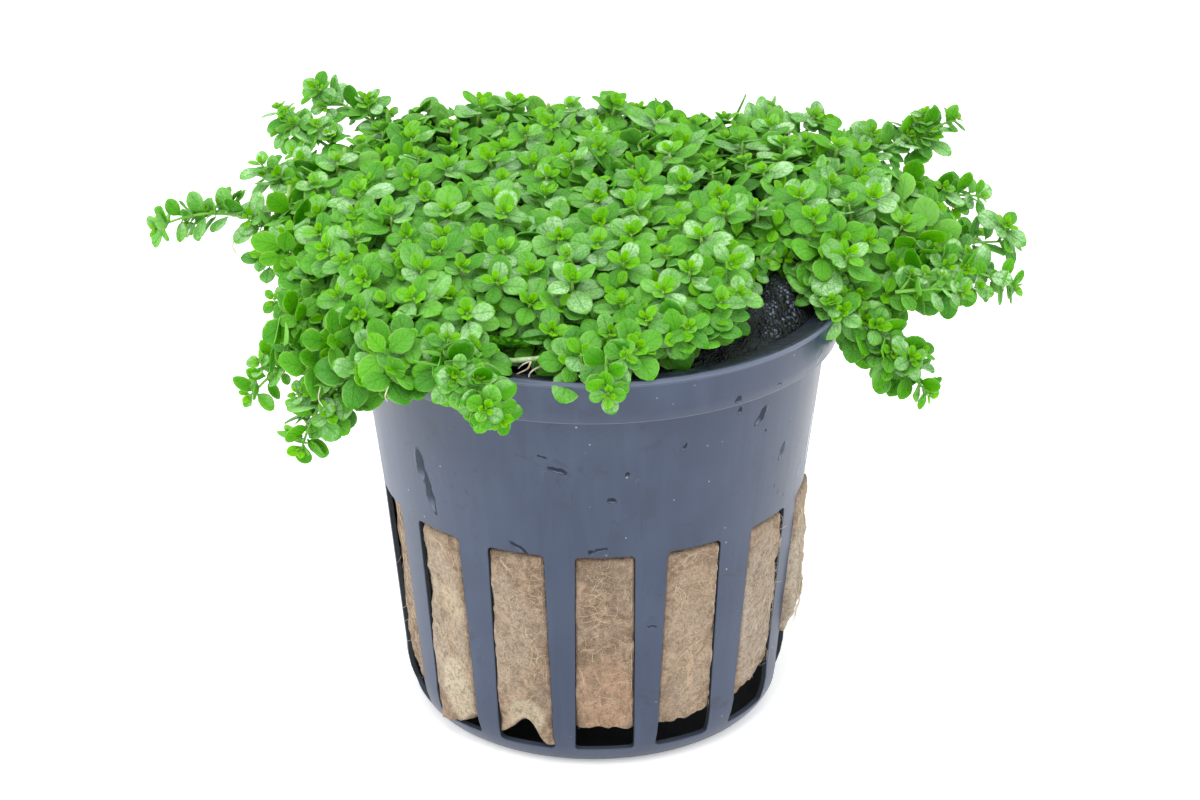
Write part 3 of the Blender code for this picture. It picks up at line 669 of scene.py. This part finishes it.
def leaf_model(fold, curl, twist, lean, around=8, stations=LEAF_STATIONS):
    """A leaf of length 1 along +X from the end of its stalk, with its upper side to +Z."""
    bm = bmesh.new()
    rings = len(stations) - 1
    bmesh.ops.create_uvsphere(bm, u_segments=around, v_segments=rings, radius=1)
    bmesh.ops.rotate(bm, cent=(0, 0, 0), matrix=Matrix.Rotation(math.pi / 2, 3, "Y"), verts=bm.verts)
    margin, plan = [], {}
    bm.verts.index_update()
    upper_side = [face.normal.z > 0 for face in bm.faces]
    for vertex in bm.verts:
        ring = round(math.acos(max(-1.0, min(1.0, -vertex.co.x))) / math.pi * rings)
        girth = math.hypot(vertex.co.y, vertex.co.z)
        side = vertex.co.y / girth if girth > 0.01 else 0.0
        upper = vertex.co.z / girth if girth > 0.01 else 0.0
        margin.append(girth < 0.01 or abs(side) > 0.99)
        along = stations[ring]
        swell = math.sin(math.pi * along)
        across = side * float(np.interp(along, LEAF_STATIONS, LEAF_HALF_WIDTHS)) * (1 + lean * side * swell)
        height = 0.032 * upper - (0.022 * swell if abs(side) < 0.1 else 0.0)
        height += fold * abs(across) - (0.5 * fold + 0.3) * across**2 - curl * along**2.2
        turn = twist * along
        plan[vertex.index] = (along, 0.5 + 0.46 * side)
        vertex.co = (
            along,
            across * math.cos(turn) - height * math.sin(turn),
            across * math.sin(turn) + height * math.cos(turn),
        )
    faces = [tuple(vertex.index for vertex in face.verts) for face in bm.faces]
    corners = [
        (plan[index][0], plan[index][1] + (0 if up_side else 1))
        for face, up_side in zip(faces, upper_side)
        for index in face
    ]
    points = np.array([vertex.co for vertex in bm.verts])
    bm.free()
    return points, faces, np.array(corners), np.array(margin)


full_leaves = [
    leaf_model(0.16, 0.10, 0.00, 0.00),
    leaf_model(0.30, 0.18, 0.20, 0.06),
    leaf_model(0.22, 0.02, -0.24, -0.06),
    leaf_model(0.08, 0.28, 0.14, 0.10),
    leaf_model(0.36, 0.00, -0.10, -0.10),
    leaf_model(-0.08, 0.20, 0.08, 0.04),
]
young_leaves = [leaf_model(0.45, -0.05, 0.05, 0.0), leaf_model(0.35, 0.04, -0.10, 0.05)]
hidden_stations = (0.0, 0.13, 0.34, 0.6, 0.84, 0.96, 1.0)
hidden_leaves = [leaf_model(fold, 0.15, 0.1, 0.0, 4, hidden_stations) for fold in (0.12, 0.28)]


def set_leaf(bundle, base, along, face, length, age, chance, hidden=False, exposed=1.0):
    """Adds one leaf at its base, pointing along, with its upper side towards face."""
    along = along.normalized()
    across = face.cross(along).normalized()
    over = along.cross(across)
    width = length * chance.uniform(0.80, 1.04)
    shapes = hidden_leaves if hidden else young_leaves if age < 0.35 else full_leaves
    points, faces, plan, margin = chance.choice(shapes)
    turned = np.array([along * length, across * width, over * length])
    # exposed, smaller for leaves in shade, scales the tint and so how much painted sheen the leaf gets
    bundle.add(points @ turned + np.array(base), faces, plan, margin, age, chance.random() * exposed)


# distance below the tip, leaf length, angle off the shoot in degrees, age
SHOOT_NODES = (
    (0.0, 0.65, 22, 0.0),
    (0.08, 1.05, 42, 0.1),
    (0.28, 1.6, 58, 0.34),
    (0.62, 2.4, 68, 0.65),
    (1.2, 3.0, 76, 0.9),
    (2.1, 3.4, 83, 1.0),
)


def jitter(spread, chance):
    """A small random vector."""
    return Vector([chance.gauss(0, spread) for _ in range(3)])


def grow_shoot(bundle, tip, axis, size, nodes, chance, hidden=False, exposed=1.0):
    """Sets crossed pairs of leaves down a shoot from its tip."""
    axis = axis.normalized()
    side = axis.orthogonal().normalized()
    turn = chance.uniform(0, math.pi)
    for below, length, spread, age in nodes:
        turn += math.pi / 2 + chance.gauss(0, 0.14)
        for half_turn in (0, math.pi):
            outward = Matrix.Rotation(turn + half_turn, 3, axis) @ side
            angle = math.radians(spread + chance.gauss(0, 7))
            along = axis * math.cos(angle) + outward * math.sin(angle)
            face = axis * math.sin(angle) - outward * math.cos(angle)
            face += Vector((0, 0, 0.25 * age)) + jitter(0.12, chance)
            base = tip - axis * below * size + outward * 0.12
            length_here = length * size * chance.uniform(0.88, 1.1)
            # leaves lower down the shoot, shaded by the pairs above, get less painted sheen
            set_leaf(bundle, base, along, face, length_here, age, chance, hidden, exposed * (1 - 0.2 * below))


leaf_green, shader, place = new_finish(
    "dwarf_baby_tears_leaf",
    {
        "IOR": 1.2,
        "Subsurface Weight": 0.2,
        "Subsurface Radius": (0.6, 1.0, 0.25),
        "Subsurface Scale": 0.6 * MM,
    },
)
age = place.attribute("age")
# tint is a random number for each leaf, made smaller on leaves in shade; it varies the green and sets how
# much painted sheen a leaf gets
tint = place.attribute("tint")
plan = place.node("ShaderNodeUVMap", {"uv_map": "leaf_plan"})
along_leaf = plan.node("ShaderNodeSeparateXYZ", None, {0: plan})
across_leaf = along_leaf.beside(1)
underside = across_leaf.math("GREATER_THAN", 1.0)
off_midrib = (across_leaf - underside - 0.5).math("ABSOLUTE")
midrib = off_midrib.ramp(0.035, 0.008) * along_leaf.ramp(0.98, 0.75)
side_wave = (along_leaf * 4.6 - off_midrib * 4.2).math("FRACT")
side_vein = side_wave.near(0.5, 0.14, 0.03) * off_midrib.ramp(0.44, 0.34)
blade = (0.6 + off_midrib.ramp(0.0, 0.07) * 0.4) * off_midrib.ramp(0.475, 0.39)
blade = blade * along_leaf.ramp(0.04, 0.2) * along_leaf.ramp(1.0, 0.86)
gloss_and_sheen_mottle = place.cloud(4.6, 3.0, 0.4)
patch = place.cloud(0.5, 2.0)
# a painted highlight along the leaf's edge, where the edge catches the light
margin = off_midrib.ramp(0.40, 0.47)
green = (tint * 7.3).math("FRACT").tint((0.036, 0.22, 0.001), (0.095, 0.38, 0.001))
green = (age.ramp(0.75, 0.0) * 0.9).tint(green, (0.17, 0.54, 0.001))
# The pale sheen is painted into the blades' colour as a highlight: most on leaves that face up towards the
# lamps, mottled, and little on leaves in shade.
upwards = surface_normal(leaf_green).vector("DOT_PRODUCT", (0, -0.45, 0.89), output=1)
painted_sheen = blade * (0.12 + tint.ramp(0.1, 0.8) * (0.35 + patch.ramp(0.40, 0.58) * 0.65))
painted_sheen = painted_sheen * (0.52 + gloss_and_sheen_mottle.ramp(0.38, 0.58) * 0.48) * age.ramp(0.15, 0.8) * upwards.ramp(0.25, 0.85)
green = painted_sheen.tint(green, (0.40, 0.65, 0.34))
green = (side_vein * 0.15 + midrib * 0.15).tint(green, (0.070, 0.32, 0.001))
green = (margin * 0.4).tint(green, (0.34, 0.58, 0.18))
(underside * 0.5).tint(green, (0.22, 0.50, 0.10)).into(shader, "Base Color")
(0.22 + gloss_and_sheen_mottle.ramp(0.4, 0.6) * 0.18 + underside * 0.25).into(shader, "Roughness")
(gloss_and_sheen_mottle * 0.04 + side_vein * -0.03 + midrib * -0.025 + blade * 0.05).bump(1.0).into(shader, "Normal")

stem_green, shader, place = new_finish("pale_green_stem", {"IOR": 1.45, "Roughness": 0.4})
pale_patches = place.cloud(1.2, 3.0).ramp(0.35, 0.7)
pale_patches.tint((0.20, 0.42, 0.05), (0.38, 0.55, 0.15)).into(shader, "Base Color")
place.cloud(5.0, 2.0).bump(0.05).into(shader, "Normal")

# the mat's reach, and how far its edge droops, every 15 degrees anticlockwise from the right
mat_radii = [
    34.5, 35.5, 35.5, 34.5, 33.5, 32.5, 32.5, 32.5, 32.5, 33.0, 33.0, 32.5,
    29.8, 29.6, 30.3, 30.5, 29.0, 26.5, 25.5, 24.5, 23.3, 20.0, 21.0, 28.0,
]
mat_droops = [
    1.2, 0.0, -0.2, 0.5, 1.0, 0.8, 0.0, -1.6, -3.0, -2.0, -0.4, 0.8,
    2.5, 5.0, 5.5, 3.0, 1.0, 0.0, -0.5, -1.0, -1.0, -1.0, 0.0, 3.2,
]


def curved(before, here, after, beyond, along):
    """A smooth step from the second to the third of four values or points, as along goes to 1."""
    bend = after - before + along * (
        2 * before - 5 * here + 4 * after - beyond + along * (3 * (here - after) + beyond - before)
    )
    return here + 0.5 * along * bend


def round_the_mat(values, angle):
    """A smooth value at an angle from a list of evenly spaced ones."""
    place = (angle / (2 * math.pi)) % 1.0 * len(values)
    index = int(place)
    return curved(*(values[(index + step) % len(values)] for step in (-1, 0, 1, 2)), place - index)


def mat_point(angle, polar, inset=0.0):
    """A point of the mat's form, or of one inset in it. Polar is 0 on top and pi underneath."""
    outline = round_the_mat(mat_radii, angle)
    radius = (outline - inset) * math.sin(polar) ** 0.75
    front = max(0.0, -math.sin(angle)) * min(1.0, radius / 22)
    thickness = 9.0 - 4.4 * front**2 + 1.3 * max(0.0, math.sin(angle)) * radius / outline
    beyond_rim = max(0.0, radius - RIM_RADIUS) / max(outline - RIM_RADIUS, 3)
    middle = POT_HEIGHT + 0.4 + thickness / 2
    middle -= (round_the_mat(mat_droops, angle) + 1.5) * beyond_rim**1.3
    side = math.cos(polar)
    height = middle + math.copysign(thickness / 2 * abs(side) ** 0.55, side)
    return at_angle(radius, angle, height)


def mat_outward(angle, polar):
    """The direction straight out of the mat's form."""
    round_it = mat_point(angle + 0.02, polar) - mat_point(angle - 0.02, polar)
    down_it = mat_point(angle, min(polar + 0.02, 3.1)) - mat_point(angle, max(polar - 0.02, 0.01))
    return down_it.cross(round_it).normalized()


def scattered(count, spacing, lowest_polar, chance):
    """Angles and polars of places over the mat, none nearer to another than the spacing."""
    places, points = [], np.empty((0, 3))
    for _ in range(count):
        angle = chance.uniform(-math.pi, math.pi)
        polar = math.acos(chance.uniform(math.cos(lowest_polar), 1.0))
        point = mat_point(angle, polar)
        if polar > 1.6 and math.hypot(point.x, point.y) < 27:
            continue
        if len(points) and np.linalg.norm(points - np.array(point), axis=1).min() < spacing:
            continue
        points = np.vstack((points, point))
        places.append((angle, polar, point))
    return places


core = bmesh.new()
bmesh.ops.create_icosphere(core, subdivisions=5, radius=1)
for vertex in core.verts:
    angle = math.atan2(vertex.co.y, vertex.co.x)
    polar = min(3.1, max(0.02, math.acos(max(-1.0, min(1.0, vertex.co.z)))))
    under = mat_point(angle, max(polar, math.pi - polar), 5.0)
    point = mat_point(angle, polar, 5.0)
    if polar < math.pi / 2:
        point.z = max(under.z + 0.4, point.z - 3.9)
    point.z += 0.5 * noise.noise(point / 2.6) + 0.3 * noise.noise(point / 1.1)
    # it dips at the front right, where the mat is open and the medium shows
    point.z -= 6.0 * math.exp(-((point.x - 18.2) ** 2 + (point.y + 8.6) ** 2) / 16)
    vertex.co = point

shaded_growth, shader, place = new_finish("shaded_growth", {"IOR": 1.2, "Roughness": 0.8})
tangle = place.cloud(1.1, 4.0, 1.2)
tangle.ramp(0.42, 0.68).tint((0.020, 0.12, 0.002), (0.075, 0.32, 0.004)).into(shader, "Base Color")
tangle.bump(0.8).into(shader, "Normal")
mat_core = finished(core, "shaded_inner_growth", shaded_growth)

# the way the light comes from, which shoots and leaves lean towards
LIGHT = Vector((0, -0.80, 0.60))
chance = random.Random(7)
# the middles of the two places where the mat is open, and how far it keeps off them
bare_spots = ((Vector((-6.3, -23.5)), 3.4), (Vector((17.3, -9.6)), 4.0))


def shoot_places(count, spacing, lowest_polar, spread, outwardness, light, least, most):
    """Places of the mat's form, clear of the bare spots, each with a shoot's tip and axis there."""
    for angle, polar, point in scattered(count, spacing, lowest_polar, chance):
        outward = mat_outward(angle, polar)
        to_light = max(0.0, min(1.0, (26 - point.y) / 40))
        axis = outward * outwardness + Vector((0, 0, 0.35)) + LIGHT * light * to_light
        axis = (axis + jitter(spread, chance)).normalized()
        depth = chance.uniform(least, most)
        tip = point - outward * depth
        if not any((tip.xy - spot).length < reach for spot, reach in bare_spots):
            yield point, outward, depth, tip, axis


layers = {name: Bundle() for name in ("front_left", "front_right", "back_left", "back_right")}
lower, deepest, stems = Bundle(), Bundle(), Bundle()
# shoots set deeper below the mat's face lie more in shade, and their leaves get less painted sheen
for point, outward, depth, tip, axis in shoot_places(16000, 3.55, 2.1, 0.26, 0.55, 0.95, 0.2, 1.7):
    layer = layers[("front" if point.y < 4 else "back") + ("_left" if point.x < 0 else "_right")]
    size = chance.uniform(0.84, 1.12)
    grow_shoot(layer, tip, axis, size, SHOOT_NODES, chance, exposed=1.3 - 0.42 * depth)
    route = [tip - axis * 0.3, tip - axis * 1.2]
    route += [tip - axis * 2.4 - outward * 0.4, tip - axis * 2.9 - outward * 1.8]
    stems.add(*tube(route, [0.12, 0.17, 0.20, 0.22], 5))
# the lower and deepest shoots lie in shade, so their leaves get little painted sheen
for bundle, least, most, nodes in ((lower, 1.7, 2.6, SHOOT_NODES[2:]), (deepest, 2.9, 4.2, SHOOT_NODES[3:])):
    for *_, tip, axis in shoot_places(14000, 3.5, 2.2, 0.4, 0.5, 0.7, least, most):
        if math.hypot(tip.x, tip.y) < RIM_RADIUS + 0.5:
            tip.z = max(tip.z, POT_HEIGHT + 1.2)
        size = chance.uniform(0.9, 1.1)
        grow_shoot(bundle, tip, axis, size, nodes, chance, hidden=bundle is deepest, exposed=0.3)

# tips of the shoots that fill the mat's edge where it hangs over the rim and where it thins out
rim_shoots = [
    (21.6, -6.4, 47.4), (22.8, -8.2, 46.4), (22.8, -9.6, 45.9), (24.0, -8.2, 45.6), (22.9, -7.0, 47.0),
    (15.0, -7.4, 47.4), (23.8, -10.0, 45.0), (20.8, -4.6, 48.2), (25.2, -7.4, 44.8), (26.2, -7.8, 43.2),
    (25.6, -5.0, 45.6), (16.6, -5.6, 48.0), (18.6, -4.4, 48.5), (-23.4, -18.2, 39.8), (35.2, -3.0, 44.4),
    (28.8, -8.5, 39.0), (15.8, -3.6, 49.2), (19.8, -3.0, 49.0), (-32.6, 5.0, 45.3), (-31.8, 6.0, 45.9),
    (-29.3, 17.0, 50.4), (-30.1, 20.0, 50.5), (26.4, -8.0, 41.9), (27.4, -8.0, 40.6), (-25.0, -19.0, 38.8),
    (28.6, 22.0, 51.4), (26.8, 22.0, 51.0), (33.2, 22.0, 50.6), (34.6, 22.4, 51.0),
]
rim = Bundle()
for spot in rim_shoots:
    heading = Vector((spot[0] / 60, spot[1] / 60, 0.3)) + LIGHT + jitter(0.2, chance)
    grow_shoot(rim, Vector(spot), heading, chance.uniform(0.75, 0.95), SHOOT_NODES, chance)

layers.update(below=lower, deepest=deepest, rim=rim)
mat_leaves = [bundle.finished("mat_leaves_" + title, leaf_green) for title, bundle in layers.items()]
for piece in (mat_core, *mat_leaves, stems.finished("mat_stems", stem_green)):
    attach(piece, "root")
    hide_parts("leaf_mat")


# Longer shoots sprawl out of the mat, over the rim and into the air, each a thin pale stem with
# crossed pairs of leaves all along it and a small rosette at its tip. A route gives each stem
# its bends, and leaves and branches are set along it as they are on the mat's shoots.

# each sprig's route, how large its leaves are, and how many shoots branch from it at a node
sprig_routes = {
    "left_high": ([(-20, 25, 50.2), (-24.9, 27, 52.6), (-29.6, 28.5, 54.5)], 0.9, 1.0),
    "left_top": ([(-26, 21, 50), (-29.6, 23, 51.6), (-32.6, 24.0, 51.6)], 0.95, 2.0),
    "left_upper": ([(-29.4, 13, 47.6), (-31.4, 14.5, 49.0), (-33.2, 16, 49.6)], 0.9, 1.3),
    "left_long": ([(-30, 8, 46.6), (-35.5, 8.5, 48.1), (-40, 8, 48.2), (-44.5, 7.5, 46.7)], 0.93, 1.0),
    "left_small": ([(-28.4, 0.6, 43.4), (-30.2, 0.2, 42.9), (-31.6, 0, 42.4)], 0.6, 0.3),
    "left_low": ([(-27, -7, 41.8), (-30.3, -8.5, 39.0), (-33.8, -10, 35.9)], 0.9, 1.2),
    "left_hanging": ([(-24.0, -17, 41.2), (-26.5, -17.8, 37.8), (-28.0, -17.5, 33.7)], 1.08, 1.6),
    "front_over": ([(-14.0, -24, 46.5), (-10.6, -28.6, 45.2), (-8.0, -30.2, 42.3)], 1.0, 1.9),
    "front_small": ([(1.2, -24.2, 46.6), (1.2, -26.8, 46.0), (1.4, -28.4, 44.1)], 0.9, 0.6),
    "right_hanging": ([(24.8, -7, 43.2), (29.0, -8, 39.4), (33.2, -8.5, 34.9)], 1.05, 1.9),
    "right_low": ([(30, -2, 46.0), (36, -2.2, 46.2), (42.2, -2, 43.7)], 0.95, 0.9),
    "right_middle": ([(30, 4.5, 46.0), (36, 5, 46.0), (42.7, 4.0, 46.7)], 0.97, 0.7),
    "right_upper": ([(30, 12, 47.7), (35.0, 12.5, 48.2), (39.8, 12.5, 48.1)], 0.88, 0.9),
    "right_top": ([(27, 20, 49.3), (33.0, 22.5, 50.9), (38.2, 24, 52.6)], 0.84, 1.0),
    "right_small": ([(29, -8, 46.2), (33.0, -8.6, 46.8), (36.0, -9.0, 46.6)], 0.75, 0.5),
    "back_left": ([(-17, 27, 46), (-21, 33.5, 45.6), (-23.5, 39, 43.4)], 1.0, 1.2),
    "back_middle": ([(-2, 28, 47), (-2.6, 35, 46), (-3.5, 39.6, 41.6)], 1.0, 1.2),
    "back_right": ([(15, 28, 47), (18, 34.5, 47.6), (20, 40.4, 46.8)], 1.0, 1.2),
    "top_middle": ([(2.0, 25, 51), (2.1, 26, 52.6), (2.1, 26.4, 53.6)], 0.7, 0.5),
    "top_right": ([(19.5, 23, 49.2), (22.0, 24.4, 50.8), (24.1, 24.8, 51.9)], 0.9, 1.4),
}


def smooth_route(route, count):
    """Evenly numbered points on a smooth curve through the route's own points."""
    points = [Vector(point) for point in route]
    padded = [2 * points[0] - points[1], *points, 2 * points[-1] - points[-2]]
    line = []
    for step in range(count):
        place = step / (count - 1) * (len(points) - 1)
        index = min(int(place), len(points) - 2)
        line.append(curved(*padded[index:index + 4], place - index))
    return line


# points of a sprig's line, the one where its stem ends, and how far apart its leaf pairs are
LINE_POINTS, STEM_END = 24, 21
PAIR_GAP = 1.45

chance = random.Random(23)
for name, (route, vigour, branching) in sprig_routes.items():
    sprig = Bundle()
    line = smooth_route(route, LINE_POINTS)
    length = sum((after - here).length for here, after in zip(line, line[1:]))
    taper = [0.20 - 0.004 * index for index in range(STEM_END + 1)]
    sprig.add(*tube(line[:STEM_END + 1], taper, 6), tint=0.8)
    nodes = max(3, round(length / PAIR_GAP))
    turn = chance.uniform(0, math.pi)
    side = (line[1] - line[0]).orthogonal().normalized()
    for node in range(nodes):
        place = (node + 0.3) / nodes * (STEM_END - 1)
        base = line[int(place)].lerp(line[int(place) + 1], place % 1)
        ahead = (line[int(place) + 1] - line[int(place)]).normalized()
        side = (side - side.project(ahead)).normalized()
        turn += math.pi / 2 + chance.gauss(0, 0.15)
        from_tip = (1 - (node + 0.3) / nodes) * length
        size = vigour * (3.1 if from_tip > 4 else 2.2 + 0.9 * from_tip / 4)
        for half_turn in (0, math.pi):
            outward = Matrix.Rotation(turn + half_turn, 3, ahead) @ side
            outward = (outward - 0.3 * outward.dot(LIGHT) * LIGHT + Vector((0, 0, 0.3))).normalized()
            angle = math.radians(chance.gauss(60, 9))
            along = ahead * math.cos(angle) + outward * math.sin(angle)
            face = ahead * math.sin(angle) - outward * math.cos(angle) + LIGHT * chance.uniform(0.7, 1.8)
            leaf_length = size * chance.uniform(0.85, 1.1)
            age = min(1.0, 0.4 + from_tip / 6)
            set_leaf(sprig, base + outward * 0.2, along, face, leaf_length, age, chance)
        for _ in range(int(branching * min(1.0, from_tip / 4) + chance.random())):
            outward = Matrix.Rotation(chance.uniform(0, 2 * math.pi), 3, ahead) @ side + Vector((0, 0, 0.45))
            reach = chance.uniform(1.0, 2.6) * vigour
            branch_tip = base + outward.normalized() * reach + ahead * chance.uniform(0.3, 1.5)
            heading = ahead * 0.5 + outward * 0.7 + LIGHT * 0.8
            branch_size = vigour * chance.uniform(0.62, 0.9)
            grow_shoot(sprig, branch_tip, heading, branch_size, SHOOT_NODES[:5], chance)
            branch = [base, base.lerp(branch_tip, 0.6) + ahead * 0.2, branch_tip]
            sprig.add(*tube(branch, [0.16, 0.14, 0.1], 5), tint=0.8)
    heading = line[STEM_END] - line[STEM_END - 3] + LIGHT
    grow_shoot(sprig, line[STEM_END], heading, 0.85 * vigour, SHOOT_NODES[:5], chance)
    piece = sprig.finished("baby_tears_" + name, leaf_green)
    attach(piece, "root")
    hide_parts("sprig_" + name)


# One bare runner lies on the medium at the front left of the rim and drops white curly roots,
# and single roots hang from the shoots at the left and front. Each is a thin closed tube along
# its own route.

ROUTE_POINTS = 14
runner, roots = Bundle(), Bundle()
runner_route = [(-10.2, -20.6, 44.6), (-7.0, -21.0, 44.9), (-4.4, -21.2, 45.3), (-1.8, -20.8, 45.8)]
runner_radii = [0.22, 0.30, 0.31, 0.30, 0.26, 0.29, 0.27, 0.24, 0.28, 0.28, 0.27, 0.26, 0.24, 0.2]
runner.add(*tube(smooth_route(runner_route, ROUTE_POINTS), runner_radii, 8))
# each root's route and its radius where it starts
root_routes = [
    ([(-5.8, -21.5, 45.0), (-6.1, -21.8, 44.4), (-6.9, -21.9, 44.0), (-7.5, -21.9, 43.7)], 0.11),
    ([(-5.9, -21.5, 45.0), (-6.6, -21.6, 44.7), (-7.0, -21.6, 44.3)], 0.08),
    ([(-2.2, -21.4, 45.0), (-4.2, -22.0, 44.9), (-5.5, -22.5, 44.6), (-6.0, -22.7, 44.0),
      (-5.6, -23.2, 43.5)], 0.13),
    ([(-1.3, -24.6, 44.9), (-0.9, -25.2, 44.5), (-0.2, -25.4, 44.2)], 0.10),
    ([(-35.4, 8.0, 46.2), (-35.8, 7.7, 45.0), (-35.1, 7.4, 44.0), (-34.6, 7.2, 43.6)], 0.09),
    ([(-40.0, 7.6, 47.0), (-40.2, 7.3, 46.2), (-39.8, 7.1, 45.6)], 0.08),
    ([(-32.6, 6.0, 46.4), (-32.4, 5.6, 44.8), (-32.6, 5.4, 43.2), (-32.3, 5.2, 41.6)], 0.10),
    ([(-25.6, -19.4, 41.8), (-25.8, -20.2, 40.8), (-25.4, -20.3, 40.0)], 0.08),
    ([(-19.0, -24.0, 43.6), (-19.3, -24.5, 42.9), (-19.1, -24.5, 42.3)], 0.07),
]
for route, radius in root_routes:
    taper = [radius * (1 - 0.045 * index) for index in range(ROUTE_POINTS)]
    roots.add(*tube(smooth_route(route, ROUTE_POINTS), taper, 6), age=0.0)
pale_runner, shader, place = new_finish("pale_bare_runner", {"IOR": 1.4, "Roughness": 0.38})
pale_patches = place.cloud(1.6, 3.0).ramp(0.35, 0.65)
pale_patches.tint((0.34, 0.52, 0.20), (0.55, 0.66, 0.42)).into(shader, "Base Color")
place.cloud(4.0, 3.0).bump(0.08).into(shader, "Normal")
white_root, shader, place = new_finish("white_root", {"IOR": 1.4, "Roughness": 0.5})
pale_patches = place.cloud(1.1, 3.0).ramp(0.35, 0.65)
pale_patches.tint((0.56, 0.46, 0.30), (0.80, 0.76, 0.64)).into(shader, "Base Color")
place.cloud(5.0, 3.0).bump(0.05).into(shader, "Normal")
for piece in (runner.finished("bare_runner", pale_runner), roots.finished("white_roots", white_root)):
    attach(piece, "root")
    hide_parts("leaf_mat")


# The studio is a white table under large soft lights. The table glows faintly, and its glow
# fades out under the pot's foot, which paints a shade there. The camera looks down on the pot's
# front through a long lens.

glowing_floor_white, shader, place = new_finish(
    "faintly_glowing_white_table",
    {"Roughness": 0.6, "Base Color": (0.93, 0.93, 0.93, 1), "Emission Strength": 0.35},
)
# The table's glow fades out within a few millimetres of the pot's foot, which paints a shade under it.
from_foot = place.vector("LENGTH", output=1)
from_foot.ramp(11.5, 15.5).tint((0, 0, 0), (1, 1, 1)).into(shader, "Emission Color")
table = bmesh.new()
bmesh.ops.create_grid(table, x_segments=2, y_segments=2, size=2000)
floor = finished(table, "white_table", glowing_floor_white)

world = bpy.data.worlds.new("soft_studio")
world.use_nodes = True
background = world.node_tree.nodes["Background"]
background.inputs["Color"].default_value = (1.0, 1.0, 1.0, 1)
background.inputs["Strength"].default_value = 0.60
bpy.context.scene.world = world


def softbox(name, position, power):
    """A square light that faces the plant."""
    light = bpy.data.lights.new(name, "AREA")
    light.shape = "SQUARE"
    light.size = 0.6
    light.energy = power
    box = added(name, light)
    box.location = position
    box.rotation_euler = (Vector((0, 0, 0.03)) - Vector(position)).to_track_quat("-Z", "Y").to_euler()


softbox("front_top_softbox", (0.0, -0.40, 0.75), 4.5)
softbox("front_softbox", (0.0, -0.90, 0.25), 1.6)
softbox("overhead_softbox", (0.0, 0.35, 0.85), 2.5)
softbox("left_softbox", (-0.75, 0.0, 0.25), 4.6)
softbox("right_softbox", (0.75, 0.05, 0.25), 2.4)

camera_data = bpy.data.cameras.new("long_lens")
camera_data.lens = 124.52
camera_data.sensor_width = 36
camera_data.shift_x = 0.005325
camera_data.shift_y = 0.01173
camera = added("front_camera", camera_data)
elevation, distance, aim_height = math.radians(24.03), 412, 30
look_from = Vector((0, -distance * math.cos(elevation), distance * math.sin(elevation) + aim_height)) * MM
level = Matrix.Rotation(math.pi / 2 - elevation, 4, "X") @ Matrix.Rotation(math.radians(-0.34), 4, "Z")
camera.matrix_world = Matrix.Translation(look_from) @ level
bpy.context.scene.camera = camera
bpy.context.scene.view_settings.view_transform = "Standard"
